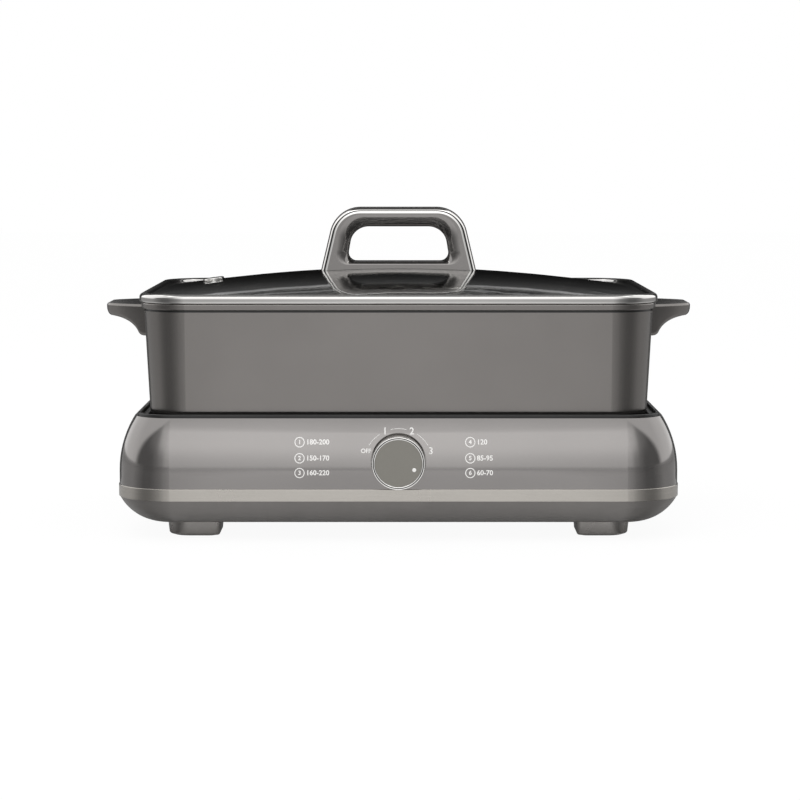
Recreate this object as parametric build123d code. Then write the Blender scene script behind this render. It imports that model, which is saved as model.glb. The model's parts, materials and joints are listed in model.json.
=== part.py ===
# Electric cooking pot: a rectangular pan with a domed glass lid, standing on a heated base.
# Millimetres, +Z up, front towards -Y. Everything is drawn about the middle of the base, and moved
# at the end so that the origin lies on the table under the middle of the whole object.
from build123d import *
from math import atan, cos, degrees, radians, sin, sqrt
import os

# Base: plan and heights
base_width = 367.0
base_depth = 248.0
base_corner = 36.0
flat_corner = 7.0
foot_height = 10.1
undercut_height = 17.2
band_height = 8.0
band_wall = 1.2
band_proud = 0.5
band_edge = 0.4
upper_height = 44.8
upper_straight = 8.5
rim_inset = 10.5
rim_top = 1.5
shell_wall = 2.5
tongue_wall = 1.6
tongue_height = 3.0
fit = 0.2
overrun = 5.0

# Deck inside the rim, with the well that the pot stands in
deck_wall = 2.0
deck_recess = 0.5
deck_flange = 5.9
deck_edge = 0.8
ledge_width = 3.6
plate_drop = 4.3

# Heat plate, heater and heat shield
plate_margin = 23.0
plate_corner = 20.0
plate_thick = 12.0
plate_proud = 2.0
plate_gap = 0.8
plate_flange = 8.0
seal_thick = 1.5
seal_width = 5.0
boss_inset_x = 50.0
boss_inset_y = 46.0
boss_radius = 6.0
boss_height = 14.0
heater_radius = 3.5
heater_inset = 24.0
heater_bend = 26.0
heater_leg_bend = 9.0
heater_leg = 20.0
heater_terminal_gap = 60.0
heater_fit = 0.15
shield_wall = 0.8
shield_inset = 12.0
shield_lip = 6.0
shield_corner = 18.0
terminal_clear = 3.0
standoff_radius = 4.5
plate_screw_radius = 2.0
plate_screw_bite = 10.0

# Temperature sensor in the middle of the plate
sensor_radius = 9.0
sensor_wall = 0.8
sensor_gap = 0.8
sensor_rest_gap = 0.3
sensor_edge = 1.2
sensor_lip = 2.5
sensor_lip_thick = 1.2
sensor_rise = 2.5
spring_wire = 0.5
spring_radius = 6.0
spring_turns = 3
bracket_wall = 1.0
bracket_width = 16.0
bracket_span = 44.0
bracket_drop = 12.0
bracket_foot = 10.0
bracket_screw_radius = 1.5

# Control knob and rotary switch
knob_radius = 17.0
knob_gap = 0.8
knob_lift = 0.3
knob_recess = 7.5
knob_length = 18.4
knob_back_gap = 0.6
knob_wall = 1.8
knob_ring_width = 1.9
knob_ring_depth = 6.0
knob_cap_thick = 1.6
knob_cap_recess = 0.4
knob_boss_radius = 5.5
dot_radius = 1.3
dot_orbit = 10.9
dot_angle = -22.5
dot_proud = 0.5
cup_wall = 1.5
shaft_radius = 3.0
shaft_flat = 1.2
shaft_fit = 0.05
shaft_bite = 8.0
shaft_inner = 9.0
bushing_radius = 4.5
bushing_height = 4.0
nut_flat = 6.5
nut_height = 2.5
switch_width = 28.0
switch_height = 26.0
switch_depth = 16.0
switch_corner = 2.0

# Power inlet in the back wall
inlet_width = 34.0
inlet_height = 26.0
inlet_corner = 3.0
inlet_body_corner = 1.0
inlet_recess = 9.0
inlet_flange = 2.0
inlet_body_inset = 3.0
inlet_depth = 19.0
inlet_wall = 2.0
pin_width = 4.0
pin_thick = 2.0
pin_set_back = 3.0
pin_pitch = 14.0
pin_rise = 4.0
tab_width = 6.3
tab_thick = 0.8
tab_length = 7.0

# Leads inside the base, and the thermal fuse under the heat shield
lead_radius = 1.4
lead_bend = 5.0
lead_clear = 2.5
fuse_radius = 2.2
fuse_length = 20.0
fuse_y = 14.0
clip_wall = 0.7
clip_width = 6.0
clip_foot = 5.0

# Housing posts, feet and pads
post_radius = 4.5
post_inset = 6.0
post_foot_gap = 9.0
post_rise = 16.5
post_screw_radius = 1.5
rib_thick = 3.0
rib_height = 12.5
rib_clear = 1.0
foot_width = 36.0
foot_depth = 34.0
foot_inset = 2.0
foot_outer_corner = 15.0
foot_inner_corner = 4.0
foot_taper = 6.0
foot_round = 1.5
pad_thick = 2.5
pad_proud = 0.6
pad_inset = 4.0
foot_screw_radius = 1.5
screw_head_share = 1.9
screw_head_height = 2.4
floor_vent_length = 30.0
floor_vent_width = 3.0
floor_vent_pitch = 8.0
floor_vent_rows = 5
floor_vent_offset = 46.0

# Pot and its two handles
pot_gap = 2.0
pot_flare = 4.0
pot_corner = 29.0
pot_height = 78.0
pot_wall = 3.0
pot_fillet = 8.0
bead_height = 4.4
bead_proud = 1.6
bead_edge = 1.2
groove_height = 1.2
groove_depth = 1.3
handle_reach = 30.8
handle_depth = 80.0
handle_tip_depth = 50.0
handle_tip_corner = 12.0
handle_drop = 4.7
handle_tip = 7.6
handle_root = 21.3
handle_flat = 6.0
handle_root_lip = 4.0
handle_edge = 2.0
handle_under_edge = 1.5
lug_depth = 44.0
lug_reach = 17.0
lug_thick = 5.0
lug_cover = 3.4
handle_screw_set_back = 6.0
handle_screw_pitch = 28.0
handle_screw_radius = 2.0

# Lid
lid_overhang = 1.2
lid_rim_height = 4.8
lid_rim_width = 6.0
lid_rim_edge = 1.4
lid_rim_wall = 0.6
lid_lip_depth = 3.4
lid_lip_gap = 0.8
glass_thick = 3.2
glass_rise = 14.2
dome_margin = 1.0
glass_fit = 0.2
grip_top = 41.7
grip_foot_width = 105.4
grip_lean = 13.4
grip_depth = 24.0
grip_top_corner = 21.0
grip_bar = 12.5
grip_sill = 4.1
grip_hole_width = 70.4
grip_hole_lean = 9.5
grip_hole_top_corner = 13.0
grip_hole_foot_corner = 5.5
grip_flare_top = 8.2
grip_flare_side = 8.0
grip_flare_foot = 2.2
grip_flare_corner = 3.0
grip_edge = 3.2
flare_steps = 3
grip_seal_thick = 0.8
seat_gap = 0.1
grip_screw_pitch = 76.0
grip_screw_radius = 2.5
grip_screw_bite = 14.0
grip_washer_radius = 7.0
grip_washer_thick = 1.2
screw_clear = 0.3
steam_inset = 42.9
steam_bore = 3.0
steam_tube = 4.4
steam_flange = 7.2
steam_flange_thick = 1.8
steam_edge = 0.8

# Heights that follow from the sizes above
floor_z = foot_height
inside_z = floor_z + shell_wall
band_z = floor_z + undercut_height
upper_z = band_z + band_height
curve_z = upper_z + upper_straight
rim_z = upper_z + upper_height
plate_z = rim_z - plate_drop
deck_top_z = rim_z - deck_recess
well_z = plate_z - plate_proud
flange_z = well_z - deck_wall - seal_thick
plate_low_z = plate_z - plate_thick
shield_z = plate_low_z - boss_height
pot_rim_z = plate_z + pot_height
glass_z = pot_rim_z + lid_rim_height - lid_rim_wall - glass_fit
lead_z = inside_z + lead_clear
lead_step = 2 * lead_bend + lead_radius

# Plan radii of the base walls, counted from the axis of each rounded corner
shell_corner = base_corner - band_proud
rim_corner = shell_corner - rim_inset
seat_corner = rim_corner - rim_top
well_corner = seat_corner - deck_flange
ledge_corner = seat_corner - ledge_width
tongue_corner = shell_corner - shell_wall - fit
collar_corner = base_corner - band_wall - fit / 2
inner_corner = tongue_corner - tongue_wall

# Plans that follow
base_run_x = base_width / 2 - base_corner
base_run_y = base_depth / 2 - base_corner
well_width = 2 * (base_run_x + well_corner)
well_depth = 2 * (base_run_y + well_corner)
plate_width = well_width - 2 * plate_margin
plate_depth = well_depth - 2 * plate_margin
pot_width = well_width - 2 * pot_gap + 2 * pot_flare
pot_depth = well_depth - 2 * pot_gap + 2 * pot_flare
lid_width = pot_width + 2 * (bead_proud + lid_overhang)
lid_depth = pot_depth + 2 * (bead_proud + lid_overhang)
lid_corner = pot_corner + bead_proud + lid_overhang
dome_width = lid_width - 2 * (lid_rim_width + dome_margin)
dome_depth = lid_depth - 2 * (lid_rim_width + dome_margin)
steam_x = steam_inset - lid_width / 2

# The leaning wall of the upper housing is an arc that leaves the straight part upright
upper_rise = rim_z - curve_z
upper_radius = (upper_rise ** 2 + rim_inset ** 2) / (2 * rim_inset)

# The undercut is an arc that leaves the flat underside level
undercut_run = shell_corner - flat_corner
undercut_radius = (undercut_height ** 2 + undercut_run ** 2) / (2 * undercut_height)

# Knob and inlet places
recess_radius = knob_radius + knob_gap
knob_z = upper_z + knob_lift + recess_radius
front_y = base_depth / 2 - band_proud
knob_floor_y = front_y - knob_recess
inlet_z = knob_z
inlet_floor_y = front_y - inlet_recess
shift_y = (knob_floor_y + knob_back_gap + knob_length - base_depth / 2) / 2


def section(*edges):
    """A face in the XZ plane from edges drawn as (distance from the corner axis, height)."""
    return Plane.XZ * make_face(edges)


def around(profile, width, depth, corner):
    """A section carried round a rounded rectangle, with its distances counted from the corner axis."""
    run_x = width / 2 - corner
    run_y = depth / 2 - corner
    turn = revolve(profile, Axis.Z, 90)
    side = extrude(profile, run_y, both=True)
    end = extrude(profile, run_x, both=True)
    pieces = [
        Pos(run_x, 0, 0) * side,
        Pos(0, run_y, 0) * Rot(0, 0, 90) * end,
        Pos(-run_x, 0, 0) * Rot(0, 0, 180) * side,
        Pos(0, -run_y, 0) * Rot(0, 0, 270) * end,
    ]
    for quarter, (x, y) in enumerate(((1, 1), (-1, 1), (-1, -1), (1, -1))):
        pieces.append(Pos(x * run_x, y * run_y, 0) * Rot(0, 0, 90 * quarter) * turn)
    return pieces[0].fuse(*pieces[1:])


def slab(width, depth, corner, low, high):
    """An upright block with a rounded rectangle as its plan."""
    return Pos(0, 0, low) * extrude(RectangleRounded(width, depth, corner), high - low)


def base_slab(corner, low, high):
    """A block that follows the plan of the base, out to a given distance from the corner axis."""
    return slab(2 * (base_run_x + corner), 2 * (base_run_y + corner), corner, low, high)


def post(x, y, low, high, radius):
    return Pos(x, y, low) * extrude(Circle(radius), high - low)


def quadrants(x, y):
    return [(sx * x, sy * y) for sx in (-1, 1) for sy in (-1, 1)]


def screw(radius, length, head_height):
    """A pan-head screw with its head at the bottom, its seat at zero and its shank pointing up."""
    head = Pos(0, 0, -head_height) * extrude(Circle(radius * screw_head_share), head_height)
    head = fillet(head.edges().group_by(Axis.Z)[0], head_height / 2)
    return head + extrude(Circle(radius), length)


def upper_corner_at(height, inset):
    """Distance from the corner axis of the upper wall at a height, a given inset behind its face."""
    rise = max(height - curve_z, 0)
    return shell_corner - upper_radius + sqrt((upper_radius - inset) ** 2 - rise ** 2)


def upper_block(inset, low, high):
    """The upper housing as a filled body, a given inset behind its outer face."""
    straight = shell_corner - inset
    top = upper_corner_at(high, inset)
    profile = section(
        Line((0, low), (straight, low)),
        Line((straight, low), (straight, curve_z)),
        TangentArc((straight, curve_z), (top, high), tangent=(0, 1)),
        Line((top, high), (0, high)),
        Line((0, high), (0, low)),
    )
    middle = Pos(0, 0, low) * extrude(Rectangle(2 * base_run_x, 2 * base_run_y), high - low)
    return around(profile, base_width, base_depth, base_corner) + middle


def post_places():
    y = base_run_y + flat_corner - foot_inset - foot_depth - post_foot_gap
    return quadrants(base_run_x + flat_corner - post_inset, y)


def housing_rib(x, y):
    """The web that ties a screw post to the upper wall."""
    start = abs(x) - base_run_x
    low = upper_z + tongue_height + rib_clear
    high = low + rib_height
    embed = shell_wall / 2
    outline = section(
        Line((start, low), (upper_corner_at(low, embed), low)),
        Line((upper_corner_at(low, embed), low), (upper_corner_at(curve_z, embed), curve_z)),
        TangentArc(
            (upper_corner_at(curve_z, embed), curve_z),
            (upper_corner_at(high, embed), high),
            tangent=(0, 1),
        ),
        Line((upper_corner_at(high, embed), high), (start, high)),
        Line((start, high), (start, low)),
    )
    web = Pos(base_run_x, 0, 0) * extrude(outline, rib_thick / 2, both=True)
    if x < 0:
        web = mirror(web, Plane.YZ)
    return Pos(0, y, 0) * web


def knob_frame():
    """The knob's own frame: +Z out of the front, zero at the floor of its recess."""
    return Pos(0, -knob_floor_y, knob_z) * Rot(90, 0, 0)


def inlet_frame():
    """The inlet's own frame: +Z out of the back, zero at the floor of its recess."""
    return Pos(0, inlet_floor_y, inlet_z) * Rot(-90, 0, 0)


def inlet_block(grow, low, high):
    corner = max(inlet_corner + grow, inlet_body_corner)
    plan = RectangleRounded(inlet_width + 2 * grow, inlet_height + 2 * grow, corner)
    return inlet_frame() * Pos(0, 0, low) * extrude(plan, high - low)


def knob_block(radius, low, high):
    return knob_frame() * Pos(0, 0, low) * extrude(Circle(radius), high - low)


def upper_housing():
    ledge_z = deck_top_z - deck_wall
    under_z = ledge_z - deck_wall
    cavity = upper_block(shell_wall, upper_z - overrun, under_z)
    cavity -= knob_block(recess_radius + cup_wall, -cup_wall, knob_recess + overrun)
    cavity -= inlet_block(shell_wall, -shell_wall, inlet_recess + overrun)
    shell = upper_block(0, upper_z, rim_z) - cavity
    shell -= base_slab(ledge_corner, under_z - overrun, rim_z + overrun)
    shell -= base_slab(seat_corner, ledge_z, rim_z + overrun)
    shell -= knob_block(recess_radius, 0, knob_recess + overrun)
    shell -= knob_block(bushing_radius + fit, -overrun, overrun)
    shell -= inlet_block(0, 0, inlet_recess + overrun)
    shell -= inlet_block(fit - inlet_body_inset, -overrun, overrun)
    for x, y in post_places():
        shell += post(x, y, inside_z + fit, inside_z + fit + post_rise + rib_height, post_radius)
        shell += housing_rib(x, y)
        shell -= post(x, y, inside_z, inside_z + post_rise, post_screw_radius)
    return shell


def lower_housing():
    inner_radius = undercut_radius - shell_wall
    lean_z = floor_z + undercut_radius - sqrt(inner_radius ** 2 - (inner_corner - flat_corner) ** 2)
    tongue_z = upper_z + tongue_height
    profile = section(
        TangentArc((flat_corner, floor_z), (shell_corner, band_z), tangent=(1, 0)),
        Polyline(
            (shell_corner, band_z),
            (collar_corner, band_z),
            (collar_corner, upper_z),
            (tongue_corner, upper_z),
            (tongue_corner, tongue_z),
            (inner_corner, tongue_z),
            (inner_corner, lean_z),
        ),
        TangentArc((flat_corner, inside_z), (inner_corner, lean_z), tangent=(1, 0)),
        Line((flat_corner, inside_z), (flat_corner, floor_z)),
    )
    shell = around(profile, base_width, base_depth, base_corner) + base_slab(flat_corner, floor_z, inside_z)
    shell -= knob_block(recess_radius + cup_wall + fit, -cup_wall - fit, knob_recess + overrun)
    shell -= inlet_block(shell_wall + fit, -shell_wall - fit, inlet_recess + overrun)
    below = floor_z - overrun
    above = inside_z + overrun
    for x, y in post_places():
        shell -= post(x, y, below, above, post_screw_radius + screw_clear)
    for x, y in boss_places():
        shell -= post(x, y, below, above, plate_screw_radius + screw_clear)
    for x, y in foot_places():
        shell -= post(x, y, below, above, foot_screw_radius + screw_clear)
    for side in (-1, 1):
        for row in range(floor_vent_rows):
            y = (row - (floor_vent_rows - 1) / 2) * floor_vent_pitch
            slot = extrude(SlotOverall(floor_vent_length, floor_vent_width), above - below)
            shell -= Pos(side * floor_vent_offset, y, below) * slot
    return shell


def trim_band():
    inner = base_corner - band_wall
    profile = Plane.XZ * make_face(
        FilletPolyline(
            (inner, band_z),
            (base_corner, band_z),
            (base_corner, upper_z),
            (inner, upper_z),
            radius=[0, band_edge, band_edge, 0],
            close=True,
        )
    )
    return around(profile, base_width, base_depth, base_corner)


def deck():
    low_z = well_z - deck_wall
    outer = seat_corner - fit
    profile = Plane.XZ * make_face(
        FilletPolyline(
            (outer, deck_top_z),
            (well_corner, deck_top_z),
            (well_corner, low_z),
            (well_corner + deck_wall, low_z),
            (well_corner + deck_wall, deck_top_z - deck_wall),
            (outer, deck_top_z - deck_wall),
            radius=[0, deck_edge, 0, 0, 0, 0],
            close=True,
        )
    )
    ring = around(profile, base_width, base_depth, base_corner)
    opening = slab(
        plate_width + 2 * plate_gap,
        plate_depth + 2 * plate_gap,
        plate_corner + plate_gap,
        low_z - overrun,
        well_z + overrun,
    )
    return ring + (base_slab(well_corner + deck_wall / 2, low_z, well_z) - opening)


def boss_places():
    return quadrants(plate_width / 2 - boss_inset_x, plate_depth / 2 - boss_inset_y)


def heater_path():
    x = plate_width / 2 - heater_inset
    y = plate_depth / 2 - heater_inset
    end = heater_terminal_gap / 2
    low = plate_low_z - heater_leg
    points = [
        (-end, y, low),
        (-end, y, plate_low_z),
        (-x, y, plate_low_z),
        (-x, -y, plate_low_z),
        (x, -y, plate_low_z),
        (x, y, plate_low_z),
        (end, y, plate_low_z),
        (end, y, low),
    ]
    bends = [heater_leg_bend] + 4 * [heater_bend] + [heater_leg_bend]
    return FilletPolyline(*points, radius=bends)


def tube(path, radius):
    """A round rod swept along a path."""
    return sweep(Plane(origin=path @ 0, z_dir=path % 0) * Circle(radius), path)


def heat_plate():
    flange_width = plate_width + 2 * plate_flange
    flange_depth = plate_depth + 2 * plate_flange
    body = slab(plate_width, plate_depth, plate_corner, plate_low_z, plate_z)
    body += slab(flange_width, flange_depth, plate_corner + plate_flange, plate_low_z, flange_z)
    for x, y in boss_places():
        body += post(x, y, shield_z, plate_low_z + overrun, boss_radius)
        body -= post(x, y, shield_z - overrun, shield_z + plate_screw_bite, plate_screw_radius)
    for x in (-1, 1):
        hole_x = x * (bracket_span + bracket_foot) / 2
        body -= post(hole_x, 0, plate_low_z - overrun, plate_low_z + plate_thick / 2, bracket_screw_radius)
    body -= post(0, 0, plate_low_z - overrun, plate_z + overrun, sensor_radius + sensor_gap)
    return body - tube(heater_path(), heater_radius + heater_fit)


def plate_seal():
    low = flange_z
    high = flange_z + seal_thick
    width = plate_width + 2 * plate_gap
    depth = plate_depth + 2 * plate_gap
    corner = plate_corner + plate_gap
    outer = slab(width + 2 * seal_width, depth + 2 * seal_width, corner + seal_width, low, high)
    return outer - slab(width, depth, corner, low - overrun, high + overrun)


def heat_shield():
    width = plate_width - 2 * shield_inset
    depth = plate_depth - 2 * shield_inset
    low = shield_z - shield_wall
    tray = slab(width, depth, shield_corner, low, shield_z + shield_lip)
    tray -= slab(
        width - 2 * shield_wall,
        depth - 2 * shield_wall,
        shield_corner - shield_wall,
        shield_z,
        shield_z + shield_lip + overrun,
    )
    for x, y in boss_places():
        tray -= post(x, y, low - overrun, shield_z + overrun, plate_screw_radius + screw_clear)
    for side in (-1, 1):
        x = side * heater_terminal_gap / 2
        y = plate_depth / 2 - heater_inset
        tray -= post(x, y, low - overrun, shield_z + overrun, heater_radius + terminal_clear)
    return tray


def plate_standoffs():
    tubes = []
    for x, y in boss_places():
        sleeve = post(x, y, inside_z, shield_z - shield_wall, standoff_radius)
        sleeve -= post(x, y, floor_z, shield_z, plate_screw_radius + screw_clear)
        tubes.append(sleeve)
    return Compound(tubes)


def screw_group(places, radius, low, high):
    """Screws that come up from a seat, one at each place."""
    return Compound([Pos(x, y, low) * screw(radius, high - low, screw_head_height) for x, y in places])


def sensor_cap():
    top = plate_z - sensor_rest_gap
    low = plate_low_z - sensor_rise - sensor_lip_thick
    outer = post(0, 0, low, top, sensor_radius)
    outer = fillet(outer.edges().group_by(Axis.Z)[-1], sensor_edge)
    outer += post(0, 0, low, low + sensor_lip_thick, sensor_radius + sensor_lip)
    return outer - post(0, 0, low - overrun, top - sensor_wall, sensor_radius - sensor_wall)


def sensor_bracket():
    half = bracket_span / 2
    low = plate_low_z - bracket_drop
    outline = section(
        Polyline(
            (-half - bracket_foot, plate_low_z),
            (-half, plate_low_z),
            (-half, low + bracket_wall),
            (half, low + bracket_wall),
            (half, plate_low_z),
            (half + bracket_foot, plate_low_z),
            (half + bracket_foot, plate_low_z - bracket_wall),
            (half + bracket_wall, plate_low_z - bracket_wall),
            (half + bracket_wall, low),
            (-half - bracket_wall, low),
            (-half - bracket_wall, plate_low_z - bracket_wall),
            (-half - bracket_foot, plate_low_z - bracket_wall),
            close=True,
        )
    )
    strap = extrude(outline, bracket_width / 2, both=True)
    for x in (-1, 1):
        hole_x = x * (bracket_span + bracket_foot) / 2
        strap -= post(hole_x, 0, low, plate_low_z + overrun, bracket_screw_radius + screw_clear)
    return strap


def sensor_spring():
    """A coil between the bracket and the lip of the sensor cap."""
    low = plate_low_z - bracket_drop + bracket_wall + spring_wire
    high = plate_low_z - sensor_rise - sensor_lip_thick - spring_wire
    height = high - low
    path = Pos(0, 0, low) * Helix(height / spring_turns, height, spring_radius)
    return sweep(Plane(origin=path @ 0, z_dir=path % 0) * Circle(spring_wire), path, is_frenet=True)


def knob_body():
    """The turned skirt, hollow at the back, with a boss that grips the shaft."""
    front = knob_back_gap + knob_length - knob_cap_recess - knob_cap_thick
    ring_start = knob_back_gap + knob_length - knob_ring_depth
    neck = knob_radius - knob_ring_width
    outer = Pos(0, 0, knob_back_gap) * extrude(Circle(knob_radius), ring_start - knob_back_gap)
    outer += Pos(0, 0, ring_start) * extrude(Circle(neck - shaft_fit), front - ring_start)
    hollow = extrude(Circle(knob_radius - knob_ring_width - knob_wall), front - knob_wall)
    boss = Pos(0, 0, bushing_height + knob_back_gap) * extrude(
        Circle(knob_boss_radius), front - knob_wall - bushing_height - knob_back_gap
    )
    bore = extrude(Circle(shaft_radius + shaft_fit), shaft_flat_start())
    bore += extrude(shaft_section(shaft_fit), front - knob_wall)
    return knob_frame() * (outer - (hollow - boss) - bore)


def shaft_section(grow):
    """A round shaft with one flat."""
    radius = shaft_radius + grow
    cut = Pos(0, shaft_radius - shaft_flat + grow + radius) * Rectangle(4 * radius, 2 * radius)
    return Circle(radius) - cut


def shaft_flat_start():
    """Where the flat on the shaft begins, counted from the floor of the knob's recess."""
    tip = knob_back_gap + knob_length - knob_cap_recess - knob_cap_thick - knob_wall - fit
    return tip - shaft_bite


def switch_shaft():
    flat = shaft_flat_start()
    rod = Pos(0, 0, -cup_wall - shaft_inner) * extrude(Circle(shaft_radius), flat + cup_wall + shaft_inner)
    rod += Pos(0, 0, flat) * extrude(shaft_section(0), shaft_bite)
    return knob_frame() * rod


def knob_ring():
    """The bright ring round the face, with two rounded beads on its front."""
    start = knob_back_gap + knob_length - knob_ring_depth
    front = knob_back_gap + knob_length
    inner = knob_radius - knob_ring_width
    bead = knob_ring_width / 4
    shoulder = front - bead
    valley = inner + 2 * bead
    profile = section(
        Line((inner, start), (knob_radius, start)),
        Line((knob_radius, start), (knob_radius, shoulder)),
        ThreePointArc((knob_radius, shoulder), (valley + bead, front), (valley, shoulder)),
        ThreePointArc((valley, shoulder), (inner + bead, front), (inner, shoulder)),
        Line((inner, shoulder), (inner, start)),
    )
    return knob_frame() * revolve(profile, Axis.Z)


def knob_cap():
    low = knob_back_gap + knob_length - knob_cap_recess - knob_cap_thick
    face = Pos(0, 0, low) * extrude(Circle(knob_radius - knob_ring_width - shaft_fit), knob_cap_thick)
    return knob_frame() * (face - dot_shape(shaft_fit))


def dot_shape(grow):
    """The domed pointer dot, let half its depth into the face."""
    face = knob_back_gap + knob_length - knob_cap_recess
    x = dot_orbit * cos(radians(dot_angle))
    y = dot_orbit * sin(radians(dot_angle))
    peg = Pos(x, y, face - dot_proud - grow) * extrude(Circle(dot_radius + grow), 2 * dot_proud + grow)
    if grow:
        return peg
    return fillet(peg.edges().group_by(Axis.Z)[-1], dot_proud / 2)


def knob_dot():
    return knob_frame() * dot_shape(0)


def rotary_switch():
    plan = RectangleRounded(switch_width, switch_height, switch_corner)
    back = -cup_wall - switch_depth
    body = Pos(0, 0, back) * extrude(plan, switch_depth)
    body += Pos(0, 0, -cup_wall) * extrude(Circle(bushing_radius), cup_wall + bushing_height)
    bore = Pos(0, 0, -cup_wall - shaft_inner - fit) * extrude(
        Circle(shaft_radius + shaft_fit), cup_wall + shaft_inner + fit + bushing_height + overrun
    )
    return knob_frame() * (body - bore)


def switch_nut():
    nut = extrude(RegularPolygon(nut_flat, 6, major_radius=False), nut_height)
    return knob_frame() * (nut - extrude(Circle(bushing_radius + shaft_fit), nut_height))


def tab_row(pitch, count):
    """Flat connection tabs that stand on a plane, in a row along X."""
    tabs = []
    for index in range(count):
        x = (index - (count - 1) / 2) * pitch
        tabs.append(Pos(x, 0, 0) * extrude(Rectangle(tab_thick, tab_width), tab_length))
    return tabs


def switch_tabs():
    back = knob_frame() * Pos(0, 0, -cup_wall - switch_depth) * Rot(180, 0, 0)
    return Compound([back * tab for tab in tab_row(pin_pitch, 2)])


def power_inlet():
    """A moulded socket: a flange on the recess floor and a body that goes in through the wall."""
    flange = inlet_block(-fit, 0, inlet_flange)
    body = inlet_block(-inlet_body_inset, -inlet_depth, inlet_flange / 2)
    cavity = inlet_block(-inlet_body_inset - inlet_wall, -inlet_depth + inlet_wall, inlet_flange + overrun)
    socket = flange + body - cavity
    for x, y in pin_places():
        socket -= inlet_frame() * Pos(x, y, -inlet_depth - overrun) * extrude(
            Rectangle(pin_thick + fit, pin_width + fit), inlet_wall + 2 * overrun
        )
    return socket


def pin_places():
    return [(-pin_pitch / 2, pin_rise), (0, -pin_rise), (pin_pitch / 2, pin_rise)]


def inlet_pins():
    """Three flat contact pins, each with a thinner tab behind the socket."""
    pins = []
    length = inlet_depth + inlet_flange - pin_set_back
    for x, y in pin_places():
        pin = Pos(x, y, -inlet_depth) * extrude(Rectangle(pin_thick, pin_width), length)
        pin += Pos(x, y, -inlet_depth - tab_length) * extrude(Rectangle(tab_thick, tab_width), tab_length)
        pins.append(inlet_frame() * pin)
    return Compound(pins)


def inlet_tab_end(index):
    x, y = pin_places()[index]
    return (x, inlet_floor_y - inlet_depth - tab_length, inlet_z - y)


def switch_tab_end(side):
    return (side * pin_pitch / 2, -knob_floor_y + cup_wall + switch_depth + tab_length, knob_z)


def lead(*points):
    """An insulated wire along straight runs with rounded bends."""
    return tube(FilletPolyline(*points, radius=lead_bend), lead_radius)


def terminal_end(side):
    return (side * heater_terminal_gap / 2, plate_depth / 2 - heater_inset, plate_low_z - heater_leg)


def lead_live():
    """From the inlet along the floor to the switch."""
    x0, y0, z0 = inlet_tab_end(0)
    x1, y1, z1 = switch_tab_end(1)
    return lead(
        (x0, y0, z0),
        (x0, y0 - lead_step, z0),
        (x0, y0 - 2 * lead_step, lead_z),
        (x0, lead_step, lead_z),
        (x1, -lead_step, lead_z),
        (x1, y1 + 2 * lead_step, lead_z),
        (x1, y1 + lead_step, z1),
        (x1, y1, z1),
    )


def fuse_height():
    return shield_z - shield_wall - fuse_radius


def lead_switched():
    """From the switch along the floor and up to the front end of the fuse."""
    x0, y0, z0 = switch_tab_end(-1)
    x1 = -heater_terminal_gap / 2
    y1 = fuse_y - fuse_length / 2
    return lead(
        (x0, y0, z0),
        (x0, y0 + lead_step, z0),
        (x0, y0 + 2 * lead_step, lead_z),
        (x1, y1 - 2 * lead_step, lead_z),
        (x1, y1 - lead_step, fuse_height()),
        (x1, y1, fuse_height()),
    )


def lead_fused():
    """From the back end of the fuse to the left heater terminal."""
    x, y, z = terminal_end(-1)
    start = fuse_y + fuse_length / 2
    drop = z - lead_step
    return lead(
        (x, start, fuse_height()),
        (x, start + lead_step, fuse_height()),
        (x, y - lead_step, drop),
        (x, y, drop),
        (x, y, z),
    )


def lead_neutral():
    """From the inlet to the right heater terminal."""
    x0, y0, z0 = inlet_tab_end(2)
    x1, y1, z1 = terminal_end(1)
    drop = z1 - lead_step
    return lead(
        (x0, y0, z0),
        (x0, y0 - lead_step, z0),
        (x1, y1 + lead_step, drop),
        (x1, y1, drop),
        (x1, y1, z1),
    )


def lead_earth():
    """From the inlet up to the flange of the heat plate."""
    x, y, z = inlet_tab_end(1)
    return lead((x, y, z), (x, y - lead_step, z), (x, y - lead_step, plate_low_z))


def thermal_fuse():
    middle = Pos(-heater_terminal_gap / 2, fuse_y, fuse_height()) * Rot(90, 0, 0)
    return middle * extrude(Circle(fuse_radius), fuse_length / 2, both=True)


def fuse_clip():
    """A sheet strap that holds the fuse against the underside of the shield."""
    outer = fuse_radius + clip_wall + fit
    strap = Circle(outer) + Pos(0, outer / 2) * Rectangle(2 * outer, outer)
    strap += Pos(0, fuse_radius - clip_wall / 2) * Rectangle(2 * (outer + clip_foot), clip_wall)
    inner = fuse_radius + fit
    strap -= Circle(inner) + Pos(0, outer) * Rectangle(2 * inner, 2 * outer)
    strap &= Pos(0, fuse_radius - 2 * outer) * Rectangle(4 * (outer + clip_foot), 4 * outer)
    middle = Pos(-heater_terminal_gap / 2, fuse_y, fuse_height()) * Rot(90, 0, 0)
    return middle * extrude(strap, clip_width / 2, both=True)


def foot_places():
    x = base_run_x + flat_corner - foot_inset - foot_width / 2
    y = base_run_y + flat_corner - foot_inset - foot_depth / 2
    return quadrants(x, y)


def foot_plan(inset):
    """Plan of the front right foot: the corner that faces outwards is rounder than the others."""
    half_x = foot_width / 2 - inset
    half_y = foot_depth / 2 - inset
    outline = FilletPolyline(
        (half_x, -half_y),
        (half_x, half_y),
        (-half_x, half_y),
        (-half_x, -half_y),
        radius=[foot_outer_corner - inset] + 3 * [foot_inner_corner],
        close=True,
    )
    return make_face(outline)


def at_foot(shape, x, y):
    if x < 0:
        shape = mirror(shape, Plane.YZ)
    if y > 0:
        shape = mirror(shape, Plane.XZ)
    return Pos(x, y, 0) * shape


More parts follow.
